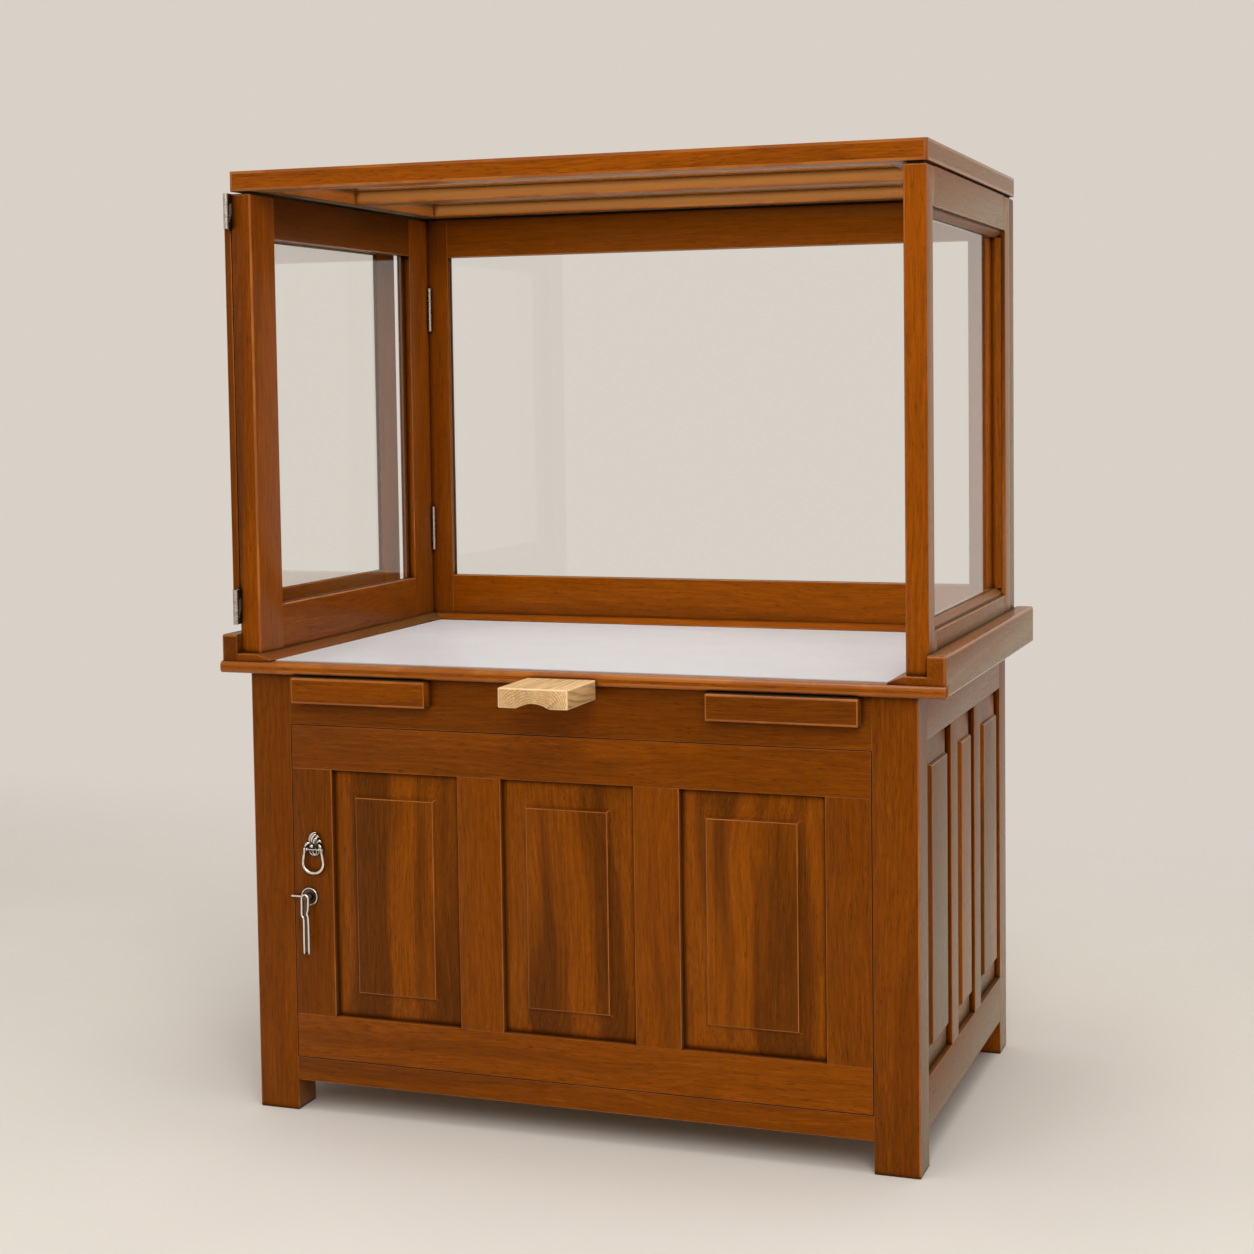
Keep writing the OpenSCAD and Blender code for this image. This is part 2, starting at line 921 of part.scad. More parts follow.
// Bench pin: a thick tongue of pale wood with a hollow below, and a tenon that slides into the apron
module bench_pin() {
    rise = pin_hollow_d;
    r = (pow(pin_hollow_w / 2, 2) + rise * rise) / (2 * rise);
    back = nosing_out + seat_gap;
    color("wheat") place() {
        difference() {
            box(-pin_w / 2, -pin_out, pin_z, pin_w, pin_out - back, pin_t);
            translate([0, -back + over, pin_z + rise - r])
                rotate([90, 0, 0])
                    cylinder(r = r, h = pin_out - back + 2 * over, $fn = 4 * round_fn);
        }
        box(-tenon_w / 2, -back - over, tenon_z, tenon_w, tenon_in + back + over, tenon_t);
    }
}

// Glazed frames. Each is drawn with X along its width, Y = 0 on its inner face and its foot at Z = 0.

module glass_pocket(w, stile) {
    box(
        stile - rebate_w, glass_in, hood_low_rail - rebate_w,
        w - 2 * stile + 2 * rebate_w, frame_t, hood_h - hood_top_rail - hood_low_rail + 2 * rebate_w
    );
}

module frame_stiles(w, stile) {
    difference() {
        at_x([0, w - stile])
            box(0, 0, 0, stile, frame_t, hood_h);
        glass_pocket(w, stile);
    }
}

module frame_rails(w, stile) {
    difference() {
        union() {
            box(stile, 0, 0, w - 2 * stile, frame_t, hood_low_rail);
            box(stile, 0, hood_h - hood_top_rail, w - 2 * stile, frame_t, hood_top_rail);
        }
        glass_pocket(w, stile);
    }
}

module frame_glass(w, stile) {
    bed = rebate_w - bed_gap;
    box(
        stile - bed, glass_in, hood_low_rail - bed,
        w - 2 * stile + 2 * bed, glass_t, hood_h - hood_top_rail - hood_low_rail + 2 * bed
    );
}

// Cross-section of a glazing bead: X from the wood towards the glass, Y outwards
module bead_profile() {
    flat = 0.4;
    polygon([
        [0, 0], [rebate_w, 0], [rebate_w, bead_t * flat], [rebate_w * flat, bead_t], [0, bead_t]
    ]);
}

module frame_beads(w, stile) {
    x = stile - rebate_w;
    z = hood_low_rail - rebate_w;
    long = w - 2 * x;
    tall = hood_h - hood_top_rail + rebate_w - z;
    translate([x, glass_in + glass_t, z]) {
        mirror([1, 0, -1])
            linear_extrude(height = long)
                bead_profile();
        translate([0, 0, tall])
            rotate([0, 90, 0])
                linear_extrude(height = long)
                    bead_profile();
        for (side = [0, 1])
            translate([side * long, 0, rebate_w + bead_joint])
                mirror([side, 0, 0])
                    linear_extrude(height = tall - 2 * rebate_w - 2 * bead_joint)
                        bead_profile();
    }
}

module back_place() {
    place()
        translate([-hood_x, hood_in_y, frame_z])
            children();
}

module back_frame_stiles() {
    color("sienna") back_place() frame_stiles(hood_w, back_stile_w);
}

module back_frame_rails() {
    color("peru") back_place() frame_rails(hood_w, back_stile_w);
}

module back_glass() {
    color("lightblue") back_place() frame_glass(hood_w, back_stile_w);
}

module back_beads() {
    color("saddlebrown") back_place() frame_beads(hood_w, back_stile_w);
}

module right_place() {
    place()
        translate([hood_in_x, hood_in_y, frame_z])
            rotate([0, 0, -90])
                children();
}

module right_frame_stiles() {
    color("sienna") right_place() frame_stiles(hood_in_y, right_stile_w);
}

module right_frame_rails() {
    color("peru") right_place() frame_rails(hood_in_y, right_stile_w);
}

module right_glass() {
    color("lightblue") right_place() frame_glass(hood_in_y, right_stile_w);
}

module right_beads() {
    color("saddlebrown") right_place() frame_beads(hood_in_y, right_stile_w);
}

// The left frame folds inwards on hinges in its back corner, so it stands clear of the sill and the lid
module left_place() {
    place()
        translate([-hood_in_x, 0, frame_z + seat_gap])
            rotate([0, 0, 90])
                children();
}

// Height of the left frame, cut down at the top by the space it needs to swing
module left_trim() {
    intersection() {
        children();
        box(-over, -over, -over, left_len + 2 * over, frame_t + 2 * over, hood_h - 2 * seat_gap + over);
    }
}

module left_frame_stiles() {
    color("sienna") left_place() left_trim() difference() {
        frame_stiles(left_len, left_stile_w);
        for (z = leaf_hinge_z)
            box(
                -over, frame_t - flap_t, z - leaf_hinge_l / 2 - frame_z - seat_gap,
                flap_w + over, flap_t + over, leaf_hinge_l
            );
    }
}

module left_frame_rails() {
    color("peru") left_place() left_trim() frame_rails(left_len, left_stile_w);
}

module left_glass() {
    color("lightblue") left_place() frame_glass(left_len, left_stile_w);
}

module left_beads() {
    color("saddlebrown") left_place() frame_beads(left_len, left_stile_w);
}

// Folding leaf, drawn where it lies folded against the outside of the left frame.
// X runs back along the leaf and Y outwards from the face next to the frame.

module leaf_place() {
    place()
        translate([leaf_in_x, 0, leaf_z])
            rotate([0, 0, 90])
                children();
}

module leaf_pocket(thick, bed) {
    box(
        leaf_stile_w - bed, (leaf_t - thick) / 2, leaf_low_rail - bed,
        leaf_w - 2 * leaf_stile_w + 2 * bed, thick, leaf_h - leaf_low_rail - hood_top_rail + 2 * bed
    );
}

module leaf_stiles() {
    color("sienna") leaf_place() difference() {
        at_x([0, leaf_w - leaf_stile_w])
            box(0, 0, 0, leaf_stile_w, leaf_t, leaf_h);
        leaf_pocket(leaf_glass_t + 2 * groove_play, groove_d);
        for (z = leaf_hinge_z)
            box(-over, -over, z - leaf_hinge_l / 2 - leaf_z, flap_w + over, flap_t + over, leaf_hinge_l);
    }
}

module leaf_rails() {
    color("peru") leaf_place() difference() {
        for (z = [[0, leaf_low_rail], [leaf_h - hood_top_rail, hood_top_rail]])
            box(leaf_stile_w, 0, z[0], leaf_w - 2 * leaf_stile_w, leaf_t, z[1]);
        leaf_pocket(leaf_glass_t + 2 * groove_play, groove_d);
    }
}

module leaf_glass() {
    color("lightblue") leaf_place() leaf_pocket(leaf_glass_t, groove_d - bed_gap);
}

// Lid: a mitred frame with a middle bar, its two panes in grooves, on thin battens that leave a shadow line

module lid_pockets(thick, bed) {
    for (y = [lid_y[1], lid_y[2] - lid_pane_d])
        box(
            -lid_in_x - bed, y - bed, lid_z + lid_glass_up,
            2 * (lid_in_x + bed), lid_pane_d + 2 * bed, thick
        );
}

// The block that the lid's mitred members are cut from
module lid_blank() {
    box(lid_corner_r - lid_w / 2, lid_y[0], lid_z, lid_w - 2 * lid_corner_r, lid_d, lid_t);
    box(-lid_w / 2, lid_y[0] + lid_corner_r, lid_z, lid_w, lid_d - 2 * lid_corner_r, lid_t);
    for (x = [lid_corner_r - lid_w / 2, lid_w / 2 - lid_corner_r])
        for (y = [lid_y[0] + lid_corner_r, lid_y[3] - lid_corner_r])
            translate([x, y, lid_z])
                cylinder(r = lid_corner_r, h = lid_t, $fn = small_fn);
}

// One outline of a lid member, raised to the lid's height
module lid_member(outline) {
    translate([0, 0, lid_z])
        linear_extrude(height = lid_t)
            polygon(outline);
}

module lid_ends() {
    color("sienna") place() difference() {
        intersection() {
            lid_blank();
            for (x = [-1, 1])
                lid_member([
                    [x * lid_w / 2, lid_y[0]], [x * lid_w / 2, lid_y[3]],
                    [x * lid_in_x, lid_y[2]], [x * lid_in_x, lid_y[1]]
                ]);
        }
        lid_pockets(glass_t + 2 * groove_play, groove_d);
    }
}

// Front and back rails, and the bar between the ends
module lid_rails() {
    color("peru") place() difference() {
        intersection() {
            lid_blank();
            union() {
                lid_member([
                    [-lid_w / 2, lid_y[0]], [lid_w / 2, lid_y[0]],
                    [lid_in_x, lid_y[1]], [-lid_in_x, lid_y[1]]
                ]);
                lid_member([
                    [-lid_in_x, lid_y[2]], [lid_in_x, lid_y[2]],
                    [lid_w / 2, lid_y[3]], [-lid_w / 2, lid_y[3]]
                ]);
                box(-lid_in_x, lid_y[1] + lid_pane_d, lid_z, 2 * lid_in_x, lid_bar_w, lid_t);
            }
        }
        lid_pockets(glass_t + 2 * groove_play, groove_d);
    }
}

module lid_glass() {
    color("lightblue") place() lid_pockets(glass_t, groove_d - bed_gap);
}

module lid_battens() {
    wide = frame_t - 2 * batten_in;
    color("saddlebrown") place() {
        box(-hood_x + batten_in, hood_in_y + batten_in, frame_top, hood_w - 2 * batten_in, wide, batten_h);
        box(hood_in_x + batten_in, batten_in, frame_top, wide, hood_in_y - over, batten_h);
    }
}

// Hinges. A hinge is drawn round its pin along Z, with its flaps towards +Y. The fixed half has the outer
// knuckles and the pin, and the moving half has the middle knuckle with its bore.

module hinge_fixed(r, length, reach, flap_x) {
    third = length / 3;
    outer = third - knuckle_gap / 2;
    for (z = [-length / 2, length / 2 - outer]) {
        translate([0, 0, z])
            cylinder(r = r, h = outer, $fn = small_fn);
        box(flap_x, 0, z, flap_t, r + 3, outer);
    }
    translate([0, 0, -length / 2])
        cylinder(r = hinge_pin_r, h = length, $fn = small_fn);
    box(flap_x, r + 2, -length / 2, flap_t, reach - r - 2, length);
}

module hinge_moving(r, length, reach, flap_x) {
    middle = length / 3 - knuckle_gap;
    difference() {
        union() {
            translate([0, 0, -middle / 2])
                cylinder(r = r, h = middle, $fn = small_fn);
            box(flap_x, 0, -middle / 2, flap_t, r + 3, middle);
            box(flap_x, r + 2, -length / 2, flap_t, reach - r - 2, length);
        }
        translate([0, 0, -middle / 2 - over])
            cylinder(r = hinge_pin_r + pin_fit, h = middle + 2 * over, $fn = small_fn);
    }
}

module at_leaf_hinges() {
    color("dimgray") place()
        for (z = leaf_hinge_z)
            translate([leaf_axis_x, leaf_axis_y, z])
                children();
}

module leaf_hinge_fixed() {
    at_leaf_hinges()
        hinge_fixed(leaf_knuckle_r, leaf_hinge_l, flap_w - leaf_axis_y, leaf_gap / 2);
}

module leaf_hinge_moving() {
    at_leaf_hinges()
        hinge_moving(leaf_knuckle_r, leaf_hinge_l, flap_w - leaf_axis_y, -leaf_gap / 2 - flap_t);
}

module at_fold_hinges() {
    color("dimgray") place()
        for (z = fold_hinge_z)
            translate([fold_axis_x, fold_axis_y, z])
                rotate([0, 0, 90])
                    children();
}

module fold_hinge_fixed() {
    at_fold_hinges()
        hinge_fixed(fold_knuckle_r, fold_hinge_l, fold_flap, hood_in_y - fold_axis_y - flap_t);
}

module fold_hinge_moving() {
    at_fold_hinges()
        hinge_moving(fold_knuckle_r, fold_hinge_l, fold_flap, left_len - fold_axis_y);
}

leg_front_left();
leg_front_right();
leg_back_left();
leg_back_right();
front_apron();
front_rail();
left_side_rails();
left_side_muntins();
left_side_panels();
right_side_rails();
right_side_muntins();
right_side_panels();
back_rails();
back_board();
floor_board();
drawer_runners();
worktop_board();
worktop_sheet();
worktop_nosing();
left_ledge();
right_ledge();
left_sill();
right_sill();
back_sill();
door_stiles();
door_rails();
door_muntins();
door_panels();
pull_rose();
pull_bail();
latch_rose();
latch_lever();
left_drawer_front();
left_drawer_box();
right_drawer_front();
right_drawer_box();
bench_pin();
back_frame_stiles();
back_frame_rails();
back_glass();
back_beads();
right_frame_stiles();
right_frame_rails();
right_glass();
right_beads();
left_frame_stiles();
left_frame_rails();
left_glass();
left_beads();
leaf_stiles();
leaf_rails();
leaf_glass();
lid_ends();
lid_rails();
lid_glass();
lid_battens();
fold_hinge_fixed();
fold_hinge_moving();
leaf_hinge_fixed();
leaf_hinge_moving();
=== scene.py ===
"""Finishes of the panelled bench cabinet and its glazed hood, with its fittings, floor and lights."""

import json
import math

import bmesh
import bpy
import numpy as np
from bpy.props import FloatProperty, FloatVectorProperty, PointerProperty
from mathutils import Matrix, Vector
from mathutils.bvhtree import BVHTree

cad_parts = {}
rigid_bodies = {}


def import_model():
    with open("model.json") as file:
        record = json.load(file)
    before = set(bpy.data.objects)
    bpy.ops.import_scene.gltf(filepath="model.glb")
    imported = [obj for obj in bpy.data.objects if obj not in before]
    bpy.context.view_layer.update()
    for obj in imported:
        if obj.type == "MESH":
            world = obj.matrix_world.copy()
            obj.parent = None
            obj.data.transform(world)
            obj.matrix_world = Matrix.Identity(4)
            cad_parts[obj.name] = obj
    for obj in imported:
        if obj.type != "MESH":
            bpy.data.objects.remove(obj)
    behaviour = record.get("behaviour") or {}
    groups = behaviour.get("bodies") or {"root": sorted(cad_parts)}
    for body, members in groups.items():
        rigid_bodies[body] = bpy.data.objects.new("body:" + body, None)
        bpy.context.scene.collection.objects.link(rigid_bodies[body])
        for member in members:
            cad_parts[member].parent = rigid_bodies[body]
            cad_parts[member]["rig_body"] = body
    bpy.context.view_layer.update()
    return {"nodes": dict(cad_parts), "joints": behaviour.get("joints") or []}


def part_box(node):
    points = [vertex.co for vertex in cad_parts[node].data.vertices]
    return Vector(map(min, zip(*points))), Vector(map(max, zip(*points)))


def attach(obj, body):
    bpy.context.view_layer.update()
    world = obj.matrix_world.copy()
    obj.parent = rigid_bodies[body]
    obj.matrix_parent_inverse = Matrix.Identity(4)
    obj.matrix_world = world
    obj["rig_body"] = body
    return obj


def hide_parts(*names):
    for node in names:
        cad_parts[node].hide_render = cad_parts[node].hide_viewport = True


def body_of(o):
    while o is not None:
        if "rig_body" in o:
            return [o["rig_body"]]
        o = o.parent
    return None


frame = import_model()
NODES = frame["nodes"]

MM = 0.001
# The edges along the gap around the door are eased like joints, so that the gap stays a fine dark line
DOOR_GAP = 1.8 * MM

bl_info = {
    "name": "Glazed bench cabinet",
    "version": (1, 0, 0),
    "blender": (4, 5, 0),
    "location": "View3D > Sidebar > Bench cabinet",
    "description": "Finishes a panelled bench cabinet with a glazed hood, its fittings, floor and lights",
    "category": "Object",
}


def colour_prop(name, text, default):
    return FloatVectorProperty(name=name, description=text, default=default, min=0, max=1, size=3, subtype="COLOR")


def length_prop(name, text, default, low, high):
    return FloatProperty(name=name, description=text, default=default, min=low, max=high, unit="LENGTH", precision=4)


def amount_prop(name, text, default, high=1):
    return FloatProperty(name=name, description=text, default=default, min=0, max=high)


def power_prop(name, text, default):
    return FloatProperty(name=name, description=text, default=default, unit="POWER")


class WoodSettings(bpy.types.PropertyGroup):
    light: colour_prop("Light wood", "Wood of the frames", (0.238, 0.0525, 0.0004))
    dark: colour_prop("Dark wood", "Broad streaks of the frames", (0.158, 0.0340, 0.0004))
    panel_light: colour_prop("Panel sapwood", "Wood of the panels", (0.285, 0.0650, 0.0004))
    panel_dark: colour_prop("Panel heartwood", "Broad streaks of the panels", (0.135, 0.0300, 0.0006))
    late_rings: colour_prop("Late rings", "Dark lines that close each growth ring", (0.060, 0.011, 0.0004))
    # Painted shade: the dark colour below is painted into corners, recesses and joints by ambient occlusion; the
    # setting after it is how far that shade reaches
    corner_shade: colour_prop("Stain", "Dark stain gathered in corners and joints", (0.030, 0.0055, 0.0002))
    corner_shade_reach: length_prop("Stain reach", "How far the stain reaches out of a corner", 0.010, 0.002, 0.05)
    # Painted highlight: the colour below is painted on the rounded edges, paler than the boards, to stand for the
    # light they catch
    painted_highlight: colour_prop("Worn edge", "Teak where handling has rubbed the stain away", (0.42, 0.125, 0.010))
    bare: colour_prop("Bare teak", "Thinly varnished teak of the battens under the lid", (0.250, 0.112, 0.033))
    # Painted shade: the amount below darkens the wood at the top of the hood's back and left frames, under the lid
    shade_under_lid: amount_prop("Smoke", "How far the wood under the lid is darkened", 0.72)
    ring_gap: length_prop("Ring spacing", "Distance between growth rings", 0.009, 0.002, 0.05)
    joint_ease: length_prop("Joint edges", "Width of the eased edges where members meet", 0.0005, 0, 0.003)
    coat: amount_prop("Varnish", "Strength of the varnish", 0.09)
    coat_roughness: amount_prop("Varnish roughness", "Roughness of the varnish", 0.12)
    sheen_level: amount_prop("Oiled surface", "Strength of the soft reflection under the varnish", 0.22)
    sheen_tint: colour_prop("Oiled surface tint", "Colour of the soft reflection seen square on", (1.0, 0.42, 0.04))


class InnerWoodSettings(bpy.types.PropertyGroup):
    light: colour_prop("Light wood", "Light wood of the boxes and boards", (0.46, 0.28, 0.135))
    dark: colour_prop("Dark wood", "Darker streaks of the boxes and boards", (0.33, 0.18, 0.078))


class TopSettings(bpy.types.PropertyGroup):
    white: colour_prop("Laminate", "Colour of the laminate", (0.635, 0.617, 0.627))
    rub: amount_prop("Rubbed patches", "Spread of the roughness", 0.06, 0.3)


class PinSettings(bpy.types.PropertyGroup):
    light: colour_prop("Pale wood", "Pale wood of the bench pin", (0.88, 0.55, 0.24))
    dark: colour_prop("Ring lines", "Growth lines of the bench pin", (0.56, 0.30, 0.10))
    rings: colour_prop("Rings", "Growth rings", (0.22, 0.095, 0.025))
    # Painted highlight: the colour below paints the pin's rounded edges paler than its wood
    edges: colour_prop("Edges", "Wood on the clean rounded edges", (0.90, 0.66, 0.38))
    stave: length_prop("Stave width", "Width of the staves in the bench pin", 0.028, 0.01, 0.06)


class GlassSettings(bpy.types.PropertyGroup):
    tint: colour_prop("Tint", "Colour of the light through the glass", (0.985, 0.992, 0.985))
    haze: amount_prop("Haze", "Roughness of wiped streaks", 0.02, 0.2)


class MetalSettings(bpy.types.PropertyGroup):
    nickel: colour_prop("Nickel", "Bright nickel of the pull and the latch", (0.86, 0.82, 0.76))
    tarnish: colour_prop("Tarnish", "Dull film in the nickel's hollows", (0.10, 0.065, 0.035))
    dim: colour_prop("Dim nickel", "Nickel in the hollows of the castings", (0.16, 0.12, 0.085))
    steel: colour_prop("Steel", "Darkened steel of the hinges", (0.13, 0.115, 0.10))
    shade_and_dirt: colour_prop("Soot", "Dirt in the corners of the hinges", (0.018, 0.015, 0.012))
    # Painted highlight: the pale steel below is painted on the hinges' rounded edges and knuckles
    wear_and_highlight: colour_prop("Rubbed steel", "Steel where the dark finish is rubbed off", (0.62, 0.57, 0.52))


class StageSettings(bpy.types.PropertyGroup):
    floor: colour_prop("Floor", "Colour of the floor", (0.80, 0.745, 0.675))
    backdrop: colour_prop("Backdrop", "Colour of the backdrop", (0.694, 0.638, 0.578))
    sky: amount_prop("Room light", "Strength of the even light", 0.45, 2)
    key: power_prop("Key light", "Power of the large front light", 104)
    top: power_prop("Top light", "Power of the light overhead", 84)
    strip: power_prop("Strip light", "Power of the long thin light", 14)


# Node helpers


def put(tree, socket, value):
    """Links a socket to another one, or sets it to a plain value. A colour has three or four numbers."""
    if isinstance(value, bpy.types.NodeSocket):
        tree.links.new(value, socket)
    else:
        socket.default_value = (*value, 1.0)[:4] if socket.type == "RGBA" else value


def new_node(tree, kind, values=None, **settings):
    """Adds a node, sets its properties, and sets or links the inputs given by name or number."""
    n = tree.nodes.new(kind)
    for key, value in settings.items():
        setattr(n, key, value)
    for key, value in (values or {}).items():
        put(tree, n.inputs[key], value)
    return n


def calc(tree, operation, *values):
    """One Math node."""
    return new_node(tree, "ShaderNodeMath", dict(enumerate(values)), operation=operation).outputs[0]


def times(tree, a, b):
    return calc(tree, "MULTIPLY", a, b)


def vector_calc(tree, operation, *values, out=0):
    """One Vector Math node."""
    values = dict(enumerate(values))
    return new_node(tree, "ShaderNodeVectorMath", values, operation=operation).outputs[out]


def noise(tree, vector, scale, detail=2.0, roughness=0.5, out="Fac"):
    """One Noise Texture node."""
    values = {"Vector": vector, "Scale": scale, "Detail": detail, "Roughness": roughness}
    return new_node(tree, "ShaderNodeTexNoise", values).outputs[out]


def remap(tree, value, a, b, c=0.0, d=1.0, kind="SMOOTHSTEP"):
    """Maps value from a to b onto c to d, clamped and eased at its ends."""
    values = {"Value": value, "From Min": a, "From Max": b, "To Min": c, "To Max": d}
    return new_node(tree, "ShaderNodeMapRange", values, interpolation_type=kind).outputs[0]


def mix(tree, factor, a, b, blend="MIX"):
    """One colour mix."""
    n = new_node(tree, "ShaderNodeMix", {0: factor, 6: a, 7: b}, data_type="RGBA", blend_type=blend)
    return n.outputs[2]


def new_group(name, inputs, outputs):
    """A shader node group with named sockets. Returns the tree, its input sockets and its output node."""
    tree = bpy.data.node_groups.new(name, "ShaderNodeTree")
    for key, kind, default in inputs:
        s = tree.interface.new_socket(key, in_out="INPUT", socket_type=kind)
        if default is not None:
            s.default_value = default
    for key, kind in outputs:
        tree.interface.new_socket(key, in_out="OUTPUT", socket_type=kind)
    start = tree.nodes.new("NodeGroupInput")
    return tree, start.outputs, tree.nodes.new("NodeGroupOutput")


def feed(tree, node, **values):
    """Sets or links the inputs of a node. Names with a space are given with an underscore."""
    for key, value in values.items():
        put(tree, node.inputs[key.replace("_", " ")], value)


def use_group(tree, group, **values):
    """Places a group in a tree and returns its outputs."""
    n = tree.nodes.new("ShaderNodeGroup")
    n.node_tree = group
    feed(tree, n, **values)
    return n.outputs


def new_material(name):
    """A material with an empty tree, its Principled shader and its output."""
    m = bpy.data.materials.new(name)
    m.use_nodes = True
    tree = m.node_tree
    tree.nodes.clear()
    shader = tree.nodes.new("ShaderNodeBsdfPrincipled")
    out = tree.nodes.new("ShaderNodeOutputMaterial")
    tree.links.new(shader.outputs[0], out.inputs[0])
    return m, tree, shader


def bump(tree, height, distance):
    """A normal from a height, where a height of 1 stands out by the distance."""
    return new_node(tree, "ShaderNodeBump", {"Height": height, "Distance": distance}).outputs[0]


def object_coordinates(tree):
    """The object's own coordinates, which move with it."""
    return tree.nodes.new("ShaderNodeTexCoord").outputs["Object"]


def wear_and_highlight(tree, patch_size, scratches, low, high):
    """The shared patches of wear, on the object's own coordinates."""
    return use_group(
        tree, group("rub"), Vector=object_coordinates(tree), Patch_size=patch_size, Scratches=scratches,
        Low=low, High=high,
    )


def seen_plainly(tree):
    """1 for what the camera, gloss and glass see, and 0 for the light that falls on things."""
    path = tree.nodes.new("ShaderNodeLightPath").outputs
    seen = calc(tree, "MAXIMUM", path["Is Camera Ray"], path["Is Glossy Ray"])
    return calc(tree, "MAXIMUM", seen, path["Is Transmission Ray"])


def blend_shaders(tree, share, shader, other, output):
    """Feeds the output with the first shader, and with the other by its share."""
    both = new_node(tree, "ShaderNodeMixShader", {0: share, 1: shader, 2: other}).outputs[0]
    tree.links.new(both, output.inputs["Surface"])


def output_of(tree):
    return next(n for n in tree.nodes if n.type == "OUTPUT_MATERIAL")


# Shared effects

FLOAT, VECTOR, COLOR = "NodeSocketFloat", "NodeSocketVector", "NodeSocketColor"


def make_boards_group():
    """Cuts space into cells, one for each board, and moves the pattern of each cell by its own random amount."""
    tree, start, end = new_group(
        "each_board",
        [
            ("Vector", VECTOR, None),
            ("Start", VECTOR, (0, 0, 0)),
            ("Cell", VECTOR, (1, 1, 1)),
            ("Spread", FLOAT, 0.5),
            ("Seed", FLOAT, 0.0),
        ],
        [("Vector", VECTOR), ("Tone", FLOAT)],
    )
    cell = vector_calc(tree, "DIVIDE", vector_calc(tree, "SUBTRACT", start["Vector"], start["Start"]), start["Cell"])
    cell = vector_calc(tree, "FLOOR", cell)
    seed = new_node(tree, "ShaderNodeCombineXYZ", {0: start["Seed"], 1: start["Seed"], 2: 0.5}).outputs[0]
    place = vector_calc(tree, "ADD", cell, seed)
    random = new_node(tree, "ShaderNodeTexWhiteNoise", {"Vector": place}, noise_dimensions="3D").outputs
    shift = vector_calc(tree, "SUBTRACT", random["Color"], (0.5, 0.5, 0.5))
    shift = new_node(tree, "ShaderNodeVectorMath", {0: shift, "Scale": start["Spread"]}, operation="SCALE").outputs[0]
    tree.links.new(vector_calc(tree, "ADD", start["Vector"], shift), end.inputs["Vector"])
    tree.links.new(random["Value"], end.inputs["Tone"])
    return tree


def make_teak_group():
    """Wood grain along Z: growth rings about a wandering pith, broad heartwood streaks, fine streaks and pores."""
    tree, start, end = new_group(
        "wood_grain",
        [
            ("Vector", VECTOR, None),
            ("Tone", FLOAT, 0.5),
            ("Light", COLOR, (0.3, 0.1, 0.01, 1)),
            ("Dark", COLOR, (0.15, 0.04, 0.005, 1)),
            ("Rings", COLOR, (0.08, 0.02, 0.002, 1)),
            ("Ring gap", FLOAT, 0.011),
            ("Figure", FLOAT, 0.5),
            ("Ring depth", FLOAT, 0.35),
            ("Streak depth", FLOAT, 0.3),
            ("Pore depth", FLOAT, 0.45),
        ],
        [("Color", COLOR), ("Roughness", FLOAT), ("Height", FLOAT)],
    )
    v = start["Vector"]

    def drawn_out(vector, share):
        """Coordinates that change along the grain by this share only."""
        return vector_calc(tree, "MULTIPLY", vector, (1, 1, share))

    warp = vector_calc(tree, "SUBTRACT", noise(tree, drawn_out(v, 0.22), 6.0, out="Color"), (0.5, 0.5, 0.5))
    warped = vector_calc(tree, "ADD", v, vector_calc(tree, "MULTIPLY", warp, (0.09, 0.09, 0)))
    flat = drawn_out(warped, 0.02)
    radius = vector_calc(tree, "LENGTH", flat, out="Value")
    turn = calc(tree, "DIVIDE", radius, start["Ring gap"])
    phase = calc(tree, "FRACT", turn)
    late = times(tree, remap(tree, phase, 0.35, 0.93), remap(tree, phase, 1.0, 0.93))
    year = noise(tree, drawn_out(flat, 0), 38.0, 1.0)
    late = times(tree, late, remap(tree, year, 0.3, 0.7, 0.25, 1.0))

    broad = remap(tree, noise(tree, drawn_out(warped, 0.07), 10.0), 0.45, 0.54)
    streaks = drawn_out(warped, 0.05)
    fine = noise(tree, streaks, 260.0, 3.0, 0.6)
    flecks = remap(tree, noise(tree, streaks, 430.0), 0.54, 0.70)
    fibre = noise(tree, drawn_out(v, 0.03), 700.0, 2.0, 0.6)
    pores = remap(tree, noise(tree, drawn_out(v, 0.06), 900.0, 1.0), 0.60, 0.70)

    wood = mix(tree, times(tree, broad, start["Figure"]), start["Light"], start["Dark"])
    wood = mix(tree, times(tree, late, start["Ring depth"]), wood, start["Rings"])
    pale = vector_calc(tree, "MULTIPLY", start["Light"], (1.35, 1.65, 2.5))
    flecks = times(tree, flecks, remap(tree, broad, 0.0, 1.0, 1.6, 0.6, "LINEAR"))
    wood = mix(tree, times(tree, flecks, start["Streak depth"]), wood, pale)
    low = calc(tree, "SUBTRACT", 1.0, start["Streak depth"])
    high = calc(tree, "ADD", 1.0, times(tree, start["Streak depth"], 0.6))
    shade = remap(tree, fine, 0.30, 0.70, low, high, "LINEAR")
    shade = times(tree, shade, remap(tree, fibre, 0.3, 0.7, 0.88, 1.10, "LINEAR"))
    shade = times(tree, shade, remap(tree, start["Tone"], 0.0, 1.0, 0.86, 1.12, "LINEAR"))
    shade = times(tree, shade, calc(tree, "SUBTRACT", 1.0, times(tree, pores, start["Pore depth"])))
    grey = new_node(tree, "ShaderNodeCombineXYZ", {0: shade, 1: shade, 2: shade}).outputs[0]
    tree.links.new(mix(tree, 1.0, wood, grey, "MULTIPLY"), end.inputs["Color"])
    rough = calc(tree, "ADD", remap(tree, fine, 0.3, 0.7, 0.27, 0.36, "LINEAR"), times(tree, pores, 0.12))
    tree.links.new(rough, end.inputs["Roughness"])
    height = calc(tree, "SUBTRACT", times(tree, fibre, 0.5), pores)
    tree.links.new(height, end.inputs["Height"])
    return tree


